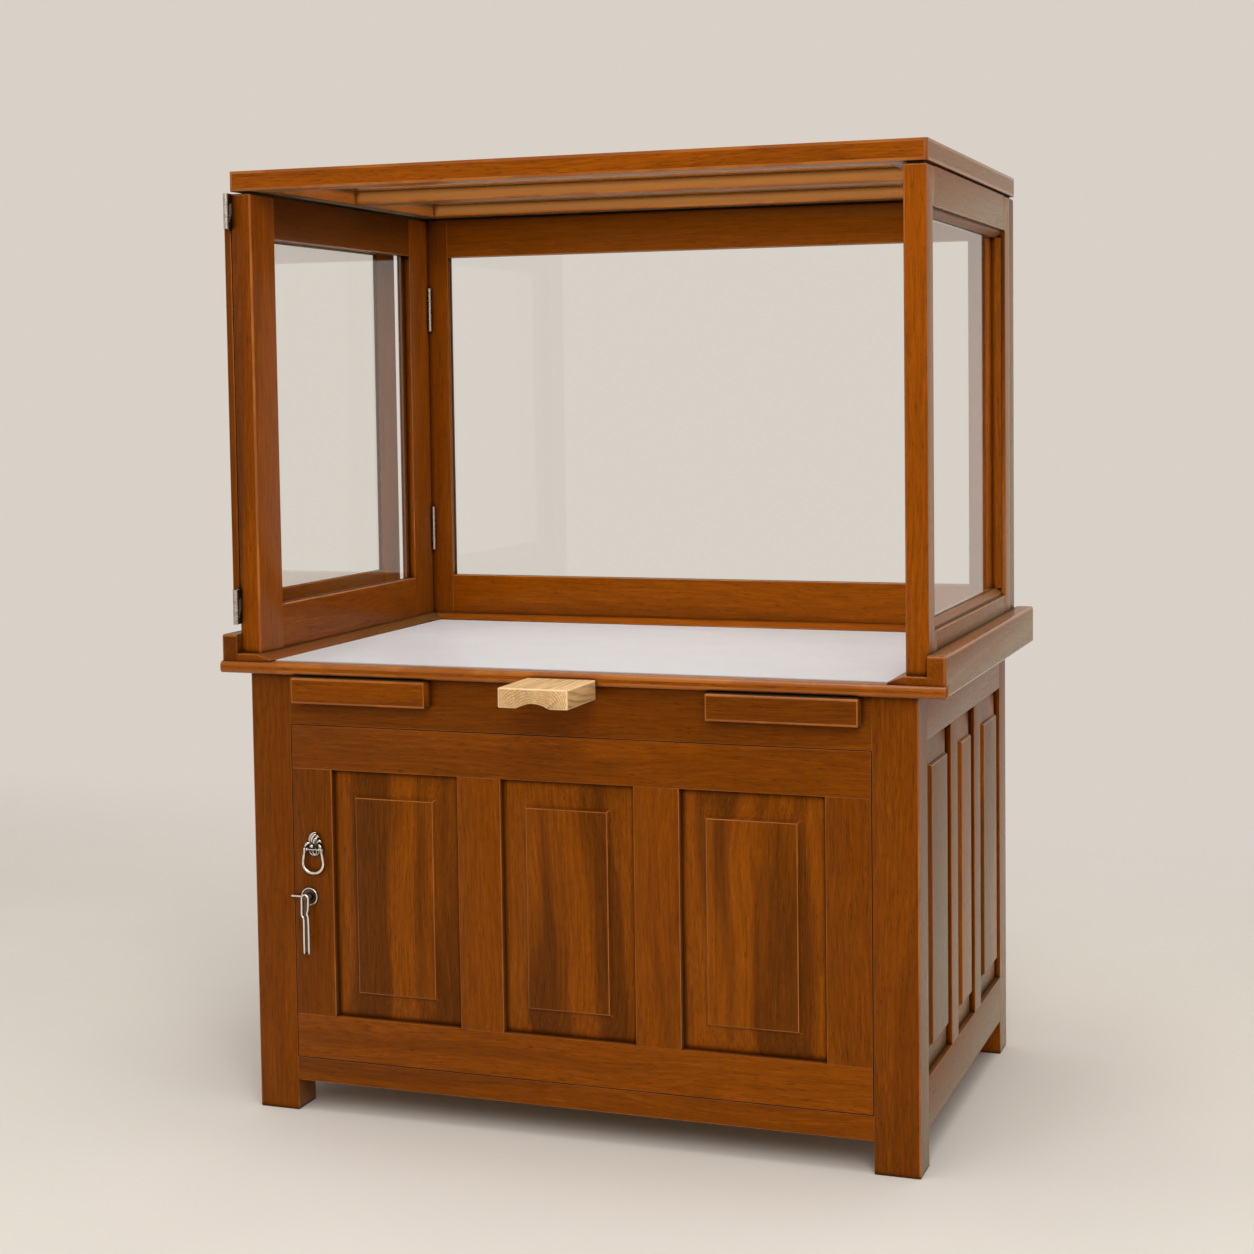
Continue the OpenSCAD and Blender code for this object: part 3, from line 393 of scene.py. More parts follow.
def make_rub_group():
    """Wear and film in soft patches with fine scratches: a mask, a roughness and a height."""
    tree, start, end = new_group(
        "rubbed_patches",
        [
            ("Vector", VECTOR, None),
            ("Patch size", FLOAT, 40.0),
            ("Scratches", FLOAT, 900.0),
            ("Low", FLOAT, 0.2),
            ("High", FLOAT, 0.4),
        ],
        [("Mask", FLOAT), ("Roughness", FLOAT), ("Height", FLOAT)],
    )
    v = start["Vector"]
    mask = remap(tree, noise(tree, v, start["Patch size"], 3.0, 0.6), 0.42, 0.62)
    lines = noise(tree, vector_calc(tree, "MULTIPLY", v, (1, 0.06, 0.35)), start["Scratches"])
    both = calc(tree, "ADD", times(tree, mask, 0.7), times(tree, lines, 0.3))
    span = calc(tree, "SUBTRACT", start["High"], start["Low"])
    tree.links.new(mask, end.inputs["Mask"])
    tree.links.new(calc(tree, "ADD", start["Low"], times(tree, both, span)), end.inputs["Roughness"])
    tree.links.new(lines, end.inputs["Height"])
    return tree


GROUPS = {}


def group(name):
    """The group of a shared effect, built once."""
    makers = {"boards": make_boards_group, "grain": make_teak_group, "rub": make_rub_group}
    if name not in GROUPS:
        GROUPS[name] = makers[name]()
    return GROUPS[name]


# Finishes

TURN_TO_Z = {"X": (0, -math.pi / 2, 0), "Y": (math.pi / 2, 0, 0), "Z": (0, 0, 0)}


def boards_of(tree, node, along, split, seed):
    """Coordinates with the grain along Z for a CAD node that is cut into split boards along X, Y and Z."""
    low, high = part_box(node)
    cell = [max(b - a, 1e-3) / n + (2e-3 if n == 1 else 0) for a, b, n in zip(low, high, split)]
    start = [a - (1e-3 if n == 1 else 0) for a, n in zip(low, split)]
    made = use_group(
        tree, group("boards"), Vector=object_coordinates(tree), Start=start, Cell=cell, Spread=0.45, Seed=seed
    )
    turned = new_node(tree, "ShaderNodeMapping", {"Vector": made["Vector"], "Rotation": TURN_TO_Z[along]})
    return turned.outputs[0], made["Tone"]


def shut_in(tree, reach):
    """How open a point is to its surroundings within reach, from 0 in a tight corner to 1 on a flat face."""
    return new_node(tree, "ShaderNodeAmbientOcclusion", {"Distance": reach}, samples=6).outputs["AO"]


def varnish(tree, shader, base, roughness, normal, gloss, unshaded=0.96, corner_shaded=0.45, shine=1.0):
    """Varnished teak with painted shade: the base colour is darkened where openness falls between the two given
    levels, into corners, recesses and joints, and there the varnish is dull."""
    s = bpy.context.scene.cabinet_wood
    openness = shut_in(tree, s.corner_shade_reach)
    # Painted shade: the base colour is darkened by ambient occlusion in corners, recesses and joints
    base = mix(tree, remap(tree, openness, unshaded, corner_shaded, 0.0, 0.92), base, s.corner_shade)
    feed(
        tree, shader, Base_Color=base, Normal=normal, Coat_Roughness=s.coat_roughness,
        Coat_Weight=times(tree, remap(tree, openness, 0.6, 0.92), gloss),
        Roughness=calc(tree, "MAXIMUM", roughness, remap(tree, openness, 0.85, 0.45, 0.0, 0.8)),
        Specular_IOR_Level=shine * s.sheen_level, Specular_Tint=s.sheen_tint,
        Sheen_Weight=0.10 * shine, Sheen_Roughness=0.4, Sheen_Tint=(0.6, 1.0, 0.5, 1.0),
    )


def teak(node, along, split=(1, 1, 1), seed=0.0, figure=0.6, panel=False, lift=1.0, fade=None, shine=1.0):
    """Varnished teak for one CAD node. Its brightness factor paints the node's wood lighter or darker, as painted
    light and shade; fade names an axis, two places on it and the share of a colour that the wood takes on from the
    one to the other, and shine scales its gloss."""
    s = bpy.context.scene.cabinet_wood
    m, tree, shader = new_material("varnished_teak_" + node)
    vector, tone = boards_of(tree, node, along, split, seed)
    light, dark = (s.panel_light, s.panel_dark) if panel else (s.light, s.dark)
    wood = use_group(
        tree, group("grain"), Vector=vector, Tone=tone, Light=(lift * c for c in light),
        Dark=(lift * c for c in dark), Rings=(lift * c for c in s.late_rings),
        Ring_gap=s.ring_gap, Figure=figure, Ring_depth=0.24 if panel else 0.16, Streak_depth=0.24, Pore_depth=0.45,
    )
    base = wood["Color"]
    if fade:
        axis, start, end, share, tint = fade
        place = new_node(tree, "ShaderNodeSeparateXYZ", {"Vector": object_coordinates(tree)}).outputs[axis]
        base = mix(tree, remap(tree, place, start, end, 0.0, share), base, tint)
    varnish(tree, shader, base, wood["Roughness"], bump(tree, wood["Height"], 0.00010), s.coat, shine=shine)
    return m


def painted_highlight_edges():
    """Teak on rounded edges, painted paler than its board as a highlight, and glossier; the same for every board."""
    if "worn_teak_edges" in bpy.data.materials:
        return bpy.data.materials["worn_teak_edges"]
    s = bpy.context.scene.cabinet_wood
    m, tree, shader = new_material("worn_teak_edges")
    rub = wear_and_highlight(tree, 9.0, 500.0, 0.22, 0.34)
    share = remap(tree, rub["Mask"], 0.0, 1.0, 0.35, 0.85)
    base = mix(tree, share, s.light, s.painted_highlight)
    varnish(tree, shader, base, rub["Roughness"], bump(tree, rub["Height"], 0.00005), 0.8, 0.92, 0.55, 0.1)
    return m


def inner_wood(node, along, split=(1, 1, 1), seed=0.0):
    """Plain matt wood of the drawer boxes, runners and boards."""
    s = bpy.context.scene.cabinet_inner
    m, tree, shader = new_material("inner_wood_" + node)
    vector, tone = boards_of(tree, node, along, split, seed)
    wood = use_group(
        tree, group("grain"), Vector=vector, Tone=tone, Light=s.light, Dark=s.dark,
        Rings=s.dark, Ring_gap=0.007, Figure=0.5, Ring_depth=0.5, Streak_depth=0.12,
    )
    feed(tree, shader, Base_Color=wood["Color"], Roughness=0.6, Normal=bump(tree, wood["Height"], 0.0002))
    return m


def dress(node, material):
    """Gives a CAD node its finish."""
    mesh = NODES[node].data
    mesh.materials.clear()
    mesh.materials.append(material)


TREES = {}


def search_tree(node):
    """A search tree over a CAD node's triangles, made once."""
    if node not in TREES:
        bm = bmesh.new()
        bm.from_mesh(NODES[node].data)
        TREES[node] = BVHTree.FromBMesh(bm)
        bm.free()
    return TREES[node]


def trees_beside(node, near):
    """The search trees of the nodes whose boxes come this near to this one's."""
    low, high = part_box(node)
    found = []
    for other in NODES:
        a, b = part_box(other)
        if other != node and all(a[i] - near < high[i] and b[i] + near > low[i] for i in range(3)):
            found.append(search_tree(other))
    return found


def eased(node, material, free_edge, joint_edge, crease=13.0, touching=0.0008, edges=None, narrow=0.0022):
    """A merged copy of a CAD node that stands for it. Its free edges are rounded to free_edge, and the edges that
    lie against another node are eased to joint_edge, as bevel weights: each edge is tried at seven points. Edges
    that turn by more than crease degrees are shaded sharp where they aren't rounded. The rounded edges, and the
    faces less wide than narrow that the CAD's own curves are made of, have a material of their own, which paints a
    highlight on them."""
    bm = bmesh.new()
    bm.from_mesh(NODES[node].data)
    bmesh.ops.remove_doubles(bm, verts=bm.verts, dist=1e-5)
    bmesh.ops.dissolve_limit(bm, angle_limit=math.radians(1), verts=bm.verts, edges=bm.edges)
    weight = bm.edges.layers.float.new("bevel_weight_edge")
    beside = trees_beside(node, touching)
    for edge in bm.edges:
        turn = edge.calc_face_angle_signed(0.0)
        a, b = (v.co for v in edge.verts)
        if turn < math.radians(30) or (b - a).length < 0.0045:
            edge.smooth = abs(turn) < math.radians(crease)
            continue
        spots = [a.lerp(b, k) for k in (0.04, 0.2, 0.35, 0.5, 0.65, 0.8, 0.96)]
        held = any(tree.find_nearest(spot, touching)[0] for tree in beside for spot in spots)
        edge[weight] = joint_edge / free_edge if held else 1.0
    for face in bm.faces:
        face.material_index = int(face.calc_area() < narrow * max(edge.calc_length() for edge in face.edges))
    mesh = bpy.data.meshes.new("eased_" + node)
    bm.to_mesh(mesh)
    bm.free()
    mesh.polygons.foreach_set("use_smooth", np.ones(len(mesh.polygons), bool))
    mesh.materials.append(material)
    # The second material paints a highlight on the rounded edges and the narrow faces
    mesh.materials.append(edges or painted_highlight_edges())
    ob = bpy.data.objects.new("eased_" + node, mesh)
    bpy.context.scene.collection.objects.link(ob)
    bevel = ob.modifiers.new("rounded_edges", "BEVEL")
    bevel.width = free_edge
    bevel.segments = 3
    bevel.limit_method = "WEIGHT"
    bevel.use_clamp_overlap = False
    bevel.harden_normals = True
    bevel.material = 1
    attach(ob, body_of(NODES[node])[0])
    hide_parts(node)
    return ob


def in_teak(node, along, width, split=(1, 1, 1), touching=0.0008, crease=13.0, **look):
    """Finishes a CAD node in teak, with its free edges rounded to width and its joint edges eased."""
    material = teak(node, along, split, **look)
    return eased(node, material, width, bpy.context.scene.cabinet_wood.joint_ease, crease, touching)


class CABINET_OT_carcass(bpy.types.Operator):
    """Varnishes the legs, aprons, rails, muntins and side panels"""

    bl_idname = "cabinet.carcass"
    bl_label = "Carcass"

    def execute(self, context):
        for i, leg in enumerate(("leg_front_left", "leg_front_right", "leg_back_left", "leg_back_right")):
            in_teak(leg, "Z", 0.0022, touching=DOOR_GAP, seed=11 + i)
        for i, rail in enumerate(("front_apron", "front_rail")):
            in_teak(rail, "X", 0.0012, touching=DOOR_GAP, seed=21 + i)
        in_teak("back_rails", "X", 0.0015, (1, 1, 2), seed=23)
        for i, side in enumerate(("left", "right")):
            in_teak(side + "_side_rails", "Y", 0.0012, (1, 1, 2), seed=31 + i)
            in_teak(side + "_side_muntins", "Z", 0.0012, (1, 2, 1), seed=33 + i)
            in_teak(side + "_side_panels", "Z", 0.0009, (1, 3, 1), crease=2.0, seed=35 + i, figure=0.95, panel=True)
        return {"FINISHED"}


class CABINET_OT_door(bpy.types.Operator):
    """Varnishes the door's stiles, rails, muntins and raised panels"""

    bl_idname = "cabinet.door"
    bl_label = "Door"

    def execute(self, context):
        in_teak("door_stiles", "Z", 0.0012, (2, 1, 1), DOOR_GAP, seed=41)
        in_teak("door_rails", "X", 0.0012, (1, 1, 2), DOOR_GAP, seed=42)
        in_teak("door_muntins", "Z", 0.0012, (2, 1, 1), seed=43)
        in_teak("door_panels", "Z", 0.0009, (3, 1, 1), crease=2.0, seed=45, figure=1.0, panel=True)
        return {"FINISHED"}


class CABINET_OT_drawers(bpy.types.Operator):
    """Varnishes the drawer fronts and finishes their boxes"""

    bl_idname = "cabinet.drawers"
    bl_label = "Drawers"

    def execute(self, context):
        for i, side in enumerate(("left", "right")):
            # The drawer fronts are painted a little darker than the other teak
            in_teak(side + "_drawer_front", "X", 0.0018, seed=51 + i, lift=0.9)
            dress(side + "_drawer_box", inner_wood(side + "_drawer_box", "Y", seed=53 + i))
        return {"FINISHED"}


class CABINET_OT_inside(bpy.types.Operator):
    """Finishes the boards and runners inside the cupboard"""

    bl_idname = "cabinet.inside"
    bl_label = "Inside boards"

    def execute(self, context):
        dress("back_board", inner_wood("back_board", "X", seed=61))
        dress("floor_board", inner_wood("floor_board", "X", seed=62))
        dress("drawer_runners", inner_wood("drawer_runners", "Y", (4, 1, 1), seed=63))
        return {"FINISHED"}


class CABINET_OT_worktop(bpy.types.Operator):
    """Finishes the worktop, its laminate, nosing, ledges and sills"""

    bl_idname = "cabinet.worktop"
    bl_label = "Worktop"

    def execute(self, context):
        top = context.scene.cabinet_top
        # The last value of each row paints the piece lighter or darker, as painted light and shade
        for i, (node, along, width, lift) in enumerate((
            ("worktop_board", "X", 0.0010, 1.0),
            ("worktop_nosing", "X", 0.0016, 1.4),
            ("left_ledge", "Y", 0.0040, 0.75),
            ("right_ledge", "Y", 0.0040, 1.0),
            ("left_sill", "Y", 0.0015, 1.1),
            ("right_sill", "Y", 0.0015, 1.1),
            ("back_sill", "X", 0.0015, 1.2),
        )):
            in_teak(node, along, width, seed=71 + i, lift=lift)
        m, tree, shader = new_material("white_laminate")
        rub = wear_and_highlight(tree, 7.0, 260.0, 0.42 - top.rub / 2, 0.42 + top.rub)
        grey = tuple(0.985 * c for c in top.white)
        feed(
            tree, shader, Base_Color=mix(tree, rub["Mask"], top.white, grey),
            Roughness=rub["Roughness"], Normal=bump(tree, rub["Height"], 0.00002),
        )
        dress("worktop_sheet", m)
        return {"FINISHED"}


class CABINET_OT_bench_pin(bpy.types.Operator):
    """Finishes the bench pin as bare pale wood glued from staves"""

    bl_idname = "cabinet.bench_pin"
    bl_label = "Bench pin"

    def execute(self, context):
        s = context.scene.cabinet_pin
        m, tree, shader = new_material("pale_wood")
        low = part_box("bench_pin")[0]
        made = use_group(
            tree, group("boards"), Vector=object_coordinates(tree), Start=(low.x, low.y - 1, low.z - 1),
            Cell=(s.stave, 4, 4), Spread=0.03, Seed=3.0,
        )
        # The heart of the tree lies just under the pin, so its rings arch over the end grain
        heart = vector_calc(tree, "SUBTRACT", made["Vector"], (0.0, 0.0, low.z - 0.02))
        turned = new_node(tree, "ShaderNodeMapping", {"Vector": heart, "Rotation": TURN_TO_Z["Y"]}).outputs[0]
        wood = use_group(
            tree, group("grain"), Vector=turned, Tone=made["Tone"], Light=s.light, Dark=s.dark,
            Rings=s.rings, Ring_gap=0.0036, Figure=0.3, Ring_depth=0.75, Streak_depth=0.16, Pore_depth=0.25,
        )
        feed(tree, shader, Base_Color=wood["Color"], Roughness=0.55, Normal=bump(tree, wood["Height"], 0.00015))
        # Painted highlight: the rounded edges of the pin get a paler wood
        edges, tree, shader = new_material("pale_wood_edges")
        rub = wear_and_highlight(tree, 60.0, 900.0, 0.4, 0.6)
        base = mix(tree, rub["Mask"], s.edges, s.light)
        feed(tree, shader, Base_Color=base, Roughness=rub["Roughness"], Normal=bump(tree, rub["Height"], 0.0001))
        eased("bench_pin", m, 0.0022, 0.0005, edges=edges, narrow=0.0)
        return {"FINISHED"}


class CABINET_OT_hood(bpy.types.Operator):
    """Varnishes the hood's frames, beads and lid"""

    bl_idname = "cabinet.hood"
    bl_label = "Hood frames"

    def execute(self, context):
        wood = context.scene.cabinet_wood
        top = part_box("back_frame_rails")[1].z
        # Painted shade: the back and left frames are darkened towards the top, under the lid
        shade_and_dirt = wood.shade_under_lid, tuple(0.25 * c for c in wood.dark)
        # Each side lists its posts' and rails' brightness factors, painted light and shade with the right frame
        # lighter and the left darker, then the painted shade under the lid, and its gloss
        for i, (side, turn, split, lifts, lid_shade, shine) in enumerate((
            ("back", "X", (2, 1, 1), (0.95, 1.25), ("Z", top - 0.16, top - 0.02, *shade_and_dirt), 1.0),
            ("right", "Y", (1, 2, 1), (1.6, 1.3), None, 1.0),
            ("left", "Y", (1, 2, 1), (1.1, 0.95), ("Z", top - 0.14, top, *shade_and_dirt), 0.3),
        )):
            post_lid_shade = lid_shade if side == "back" else None
            post = {"seed": 81 + i, "lift": lifts[0], "fade": post_lid_shade, "shine": shine}
            rail = {"seed": 84 + i, "lift": lifts[1], "fade": lid_shade, "shine": shine}
            in_teak(side + "_frame_stiles", "Z", 0.0030, split, **post)
            in_teak(side + "_frame_rails", turn, 0.0015, (1, 1, 2), **rail)
            dress(side + "_beads", teak(side + "_beads", "Z", split, seed=87 + i, figure=0.2))
        in_teak("leaf_stiles", "Z", 0.0015, (1, 2, 1), seed=91)
        in_teak("leaf_rails", "Y", 0.0012, (1, 1, 2), seed=92)
        # The lid's ends and rails are painted lighter, as painted light from above
        in_teak("lid_ends", "Y", 0.0045, (2, 1, 1), seed=93, lift=1.2)
        # The lid's front rail keeps its colour, and what lies behind it is paler
        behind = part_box("lid_rails")[0].y + 46 * MM
        paler = ("Y", behind, behind + 6 * MM, 0.75, wood.bare)
        in_teak("lid_rails", "X", 0.0045, (1, 2, 1), seed=94, lift=1.2, fade=paler)
        m, tree, shader = new_material("thinly_varnished_battens")
        vector, tone = boards_of(tree, "lid_battens", "X", (1, 2, 1), 95)
        grain = use_group(
            tree, group("grain"), Vector=vector, Tone=tone, Light=wood.bare, Dark=wood.light,
            Rings=wood.dark, Figure=0.3, Ring_depth=0.3, Streak_depth=0.25, Pore_depth=0.4,
        )
        varnish(tree, shader, grain["Color"], grain["Roughness"], bump(tree, grain["Height"], 0.0001), wood.coat)
        dress("lid_battens", m)
        return {"FINISHED"}


class CABINET_OT_glass(bpy.types.Operator):
    """Glazes the hood, the folding leaf and the lid"""

    bl_idname = "cabinet.glass"
    bl_label = "Glass"

    def execute(self, context):
        s = context.scene.cabinet_glass
        m, tree, shader = new_material("clear_glass")
        rub = wear_and_highlight(tree, 3.0, 40.0, 0.0, s.haze)
        feed(
            tree, shader, Base_Color=s.tint, Metallic=0.0, Transmission_Weight=1.0,
            IOR=1.45, Roughness=rub["Roughness"],
        )
        clear = new_node(tree, "ShaderNodeBsdfTransparent", {"Color": s.tint}).outputs[0]
        ray = tree.nodes.new("ShaderNodeLightPath").outputs["Is Shadow Ray"]
        blend_shaders(tree, ray, shader.outputs[0], clear, output_of(tree))
        for node in ("back_glass", "right_glass", "left_glass", "leaf_glass", "lid_glass"):
            dress(node, m)
        return {"FINISHED"}


def mesh_object(name, points, faces):
    """A new smooth object at the origin from arrays of points and faces."""
    mesh = bpy.data.meshes.new(name)
    mesh.from_pydata(points.tolist(), [], faces.tolist())
    mesh.update()
    mesh.polygons.foreach_set("use_smooth", np.ones(len(mesh.polygons), bool))
    ob = bpy.data.objects.new(name, mesh)
    bpy.context.scene.collection.objects.link(ob)
    return ob


def grid_faces(rows, columns, close_rows=False, close_columns=False):
    """Quads of a grid of points, numbered row by row, joined round where it is closed."""
    r = np.arange(rows if close_rows else rows - 1)[:, None]
    c = np.arange(columns if close_columns else columns - 1)[None, :]
    r2, c2 = (r + 1) % rows, (c + 1) % columns
    corners = np.stack([r * columns + c, r * columns + c2, r2 * columns + c2, r2 * columns + c], -1)
    return corners.reshape(-1, 4)


def smooth_path(points, count):
    """A smooth curve through the points: between two points it is the cubic that leaves each one parallel to the
    line through its neighbours."""
    p = np.asarray(points, float)
    p = np.concatenate([2 * p[:1] - p[1:2], p, 2 * p[-1:] - p[-2:-1]])
    u = np.linspace(0, len(p) - 3 - 1e-9, count)
    k = u.astype(int)
    t = (u - k)[:, None]
    a, b, c, d = p[k], p[k + 1], p[k + 2], p[k + 3]
    return 0.5 * (2 * b + (c - a) * t + (2 * a - 5 * b + 4 * c - d) * t**2 + (3 * b - a - 3 * c + d) * t**3)


def rod(path, width, depth, sides=14):
    """Points and faces of a rod along a path that runs across the door's face: the path's point, plus the cosine of
    the turn times half the width across the path, plus its sine times half the depth towards the front."""
    path = np.asarray(path, float)
    along = np.gradient(path, axis=0)
    across = np.cross(along, (0.0, -1.0, 0.0))
    across /= np.linalg.norm(across, axis=1)[:, None]
    front = np.cross(across, along)
    front /= np.linalg.norm(front, axis=1)[:, None]
    turn = np.linspace(0, 2 * math.pi, sides, endpoint=False)[None, :, None]
    half_w = (np.broadcast_to(width, len(path)) / 2)[:, None, None]
    half_d = (np.broadcast_to(depth, len(path)) / 2)[:, None, None]
    points = path[:, None] + half_w * np.cos(turn) * across[:, None] + half_d * np.sin(turn) * front[:, None]
    return points.reshape(-1, 3), grid_faces(len(path), sides, close_columns=True)


def round_ends(count, share=0.06):
    """Widths of a rod with round ends, from 0 to 1: the root of one less the square of the way into the end."""
    u = np.linspace(0, 1, count)
    into = np.clip(1 - np.minimum(u, 1 - u) / share, 0, 1)
    return np.sqrt(1 - into**2)


def leaf_width(count, peak=0.4):
    """Widths of a leaf, from 0 to 1: a sine whose top is moved to peak."""
    u = np.linspace(0, 1, count)
    return np.sin(math.pi * u ** (math.log(0.5) / math.log(peak))) ** 0.8


def turned(profile, centre, stretch=(1.0, 1.0), sides=40):
    """Points and faces of a form turned about the line towards the front: each profile point, a radius and a height
    above the door, goes round the centre, with the circle stretched across and upwards."""
    profile = np.asarray(profile, float)
    turn = np.linspace(0, 2 * math.pi, sides, endpoint=False)[None, :]
    r, h = profile[:, :1], profile[:, 1:]
    points = np.stack([
        centre[0] + stretch[0] * r * np.cos(turn), centre[1] - h + 0 * turn, centre[2] + stretch[1] * r * np.sin(turn)
    ], -1)
    return points.reshape(-1, 3), grid_faces(len(profile), sides, close_columns=True)


def hoop(centre, radius, wire, depth, height=1.0, sides=48):
    """A closed ring of an oval wire round a centre, stretched upwards by height."""
    turn = np.linspace(0, 2 * math.pi, sides, endpoint=False)[:, None]
    round_wire = np.linspace(0, 2 * math.pi, 12, endpoint=False)[None, :]
    r = radius + wire / 2 * np.cos(round_wire)
    points = np.stack([
        centre[0] + r * np.cos(turn),
        centre[1] - depth / 2 * np.sin(round_wire) + 0 * turn,
        centre[2] + height * r * np.sin(turn),
    ], -1)
    return points.reshape(-1, 3), grid_faces(sides, 12, True, True)


def casting(name, parts, hollows, materials, *nodes):
    """One piece of metal from several forms, which stands for CAD nodes and moves with them. The parts have the first
    material and the hollows the second."""
    every = parts + hollows
    starts = np.cumsum([0] + [len(form[0]) for form in every])
    points = np.concatenate([form[0] for form in every])
    faces = np.concatenate([form[1] + start for form, start in zip(every, starts)])
    ob = mesh_object(name, points, faces)
    dark = np.concatenate([np.full(len(form[1]), int(i >= len(parts)), np.int32) for i, form in enumerate(every)])
    ob.data.polygons.foreach_set("material_index", dark)
    bm = bmesh.new()
    bm.from_mesh(ob.data)
    bmesh.ops.remove_doubles(bm, verts=bm.verts, dist=2e-6)
    bmesh.ops.recalc_face_normals(bm, faces=bm.faces)
    bm.to_mesh(ob.data)
    bm.free()
    for material in materials:
        ob.data.materials.append(material)
    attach(ob, body_of(NODES[nodes[0]])[0])
    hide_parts(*nodes)
    return ob


def metal(name, bright, dull, low, high, reach=0.008):
    """Metal with rubbed patches, dulled in its corners."""
    m, tree, shader = new_material(name)
    rub = wear_and_highlight(tree, 160.0, 2400.0, low, high)
    openness = shut_in(tree, reach)
    film = remap(tree, openness, 0.97, 0.60, 0.0, 0.97)
    film = calc(tree, "MAXIMUM", film, times(tree, rub["Mask"], 0.3))
    feed(
        tree, shader, Base_Color=mix(tree, film, bright, dull), Metallic=1.0,
        Roughness=rub["Roughness"], Normal=bump(tree, rub["Height"], 0.00003), Specular_Tint=(0.25, 0.2, 0.15, 1.0),
    )
    return m


def joint_place(name):
    """Where a joint's axis stands, in the row frame."""
    return np.array(next(j for j in frame["joints"] if j["name"] == name)["pos_m"], float)


def points_from(joint):
    """A function that makes points from millimetres across and up from a joint, standing out from the door."""
    place = joint_place(joint)
    place[1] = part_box("door_rails")[0].y

    def at(points, out):
        p = np.asarray(points, float)
        return place + MM * np.stack([p[:, 0], -np.broadcast_to(out, len(p)), p[:, 1]], -1)

    return at


class CABINET_OT_ring_pull(bpy.types.Operator):
    """Makes the ring pull: a ringed rose under a spray of leaves, and the ring that hangs from it"""

    bl_idname = "cabinet.ring_pull"
    bl_label = "Ring pull"

    def execute(self, context):
        s = context.scene.cabinet_metal
        finish = (
            metal("polished_nickel", s.nickel, s.tarnish, 0.10, 0.26),
            metal("tarnished_nickel", s.dim, s.tarnish, 0.30, 0.50),
        )
        pivot = joint_place("bail_swing")
        at = points_from("bail_swing")

        def leaf(points, out, wide, thick=3.0, peak=0.4):
            path = smooth_path(at(points, out), 22)
            return rod(path, MM * wide * leaf_width(22, peak), MM * thick * leaf_width(22, peak) + 2e-4, 12)

        # Leaves of the finial, from the middle outwards, then the two that hide the ends of the cross rod
        parts = [
            leaf([(-5, 8), (-7.5, 14), (-5, 21), (0, 26), (4.5, 27.5)], (2.5, 3.5, 4.5, 4.5, 3.5), 5.0),
            leaf([(-2, 9), (-2.5, 16), (1.0, 22), (5, 25)], (4, 5.5, 6, 4.5), 5.0),
            leaf([(2, 9), (4, 16), (7.5, 21.5), (10.5, 19.0)], (3.5, 4.5, 5, 3.5), 4.6),
            leaf([(4, 7), (8.5, 13.5), (12, 13.5), (13.8, 10)], (3, 4, 4.5, 3), 4.2),
            leaf([(0.5, 7), (1.5, 12), (3.5, 17), (6.5, 19)], (5, 6.5, 7, 6), 3.8),
            leaf([(-4, 7), (-8.5, 9.5), (-12.5, 7.5), (-16, 1.5)], (3, 4.5, 6, 6), 4.4, peak=0.6),
            leaf([(4, 6), (9, 7.5), (12.5, 4.5), (15.5, -1.5)], (3, 4.5, 6, 6), 4.4, peak=0.6),
        ]
        base = at([(0, -0.5)], 0)[0]
        plate = np.array([(0, 0), (10.4, 0), (10.8, 0.6), (10.2, 1.4), (8.5, 1.7), (0, 1.7)]) * MM
        swell = np.array([(0, 0), (7.6, 0), (7.4, 2.4), (6.2, 4.2), (3.6, 5.6), (0, 6.2)]) * MM
        hollows = [turned(plate, base), turned(swell, at([(1.0, 10.5)], 0)[0], (0.95, 1.15))]
        parts.append(hoop(base - (0, 2.0 * MM, 0), 9.6 * MM, 2.3 * MM, 2.6 * MM))
        ball = np.linspace(0, math.pi, 12)
        bead = np.stack([3.1 * np.sin(ball), 7.4 - 3.1 * np.cos(ball)], -1) * MM
        parts.append(turned(bead, at([(-1.4, 5.6)], 0)[0], sides=20))
        parts.append(hoop(at([(1.6, -3.4)], 3.4)[0], 3.2 * MM, 1.8 * MM, 2.2 * MM, 1.75, 30))
        rod_path = np.linspace(pivot - (18.5 * MM, 0, 0), pivot + (18.5 * MM, 0, 0), 24)
        thick = 2.4 * MM * round_ends(24)
        parts.append(rod(rod_path, thick, thick, 12))
        for side in (-1, 1):
            ear = np.array([(0, 0), (2.2, 0), (2.4, 4.5), (2.6, 7.2), (1.8, 8.6), (0, 8.8)]) * MM
            parts.append(turned(ear, at([(side * 11.2, 0)], 0)[0], (0.75, 1.1), 20))
        casting("pull_plate_and_leaves", parts, hollows, finish, "pull_rose")

        # The ring hangs as a D whose sides lean out to a round foot
        half = [(14.6, 1.8), (15.2, -3), (16.6, -11), (18.0, -20), (17.6, -26), (14.6, -32), (8.6, -36.6), (0, -38.2)]
        outline = half + [(-x, z) for x, z in half[-2::-1]]
        path = smooth_path(at(outline, 7.0), 90)
        wire = 4.1 * MM * (1 + 0.16 * np.sin(math.pi * np.linspace(0, 1, 90)) ** 2) * round_ends(90, 0.012)
        ring = [rod(path, wire, wire, 16)]
        for side in (-1, 1):
            eye = np.linspace(pivot + (side * 13.0 * MM, 0, 0), pivot + (side * 16.6 * MM, 0, 0), 12)
            thick = 5.6 * MM * round_ends(12, 0.3)
            ring.append(rod(eye, thick, thick, 18))
        casting("pull_ring", ring, [], finish[:1], "pull_bail")
        return {"FINISHED"}


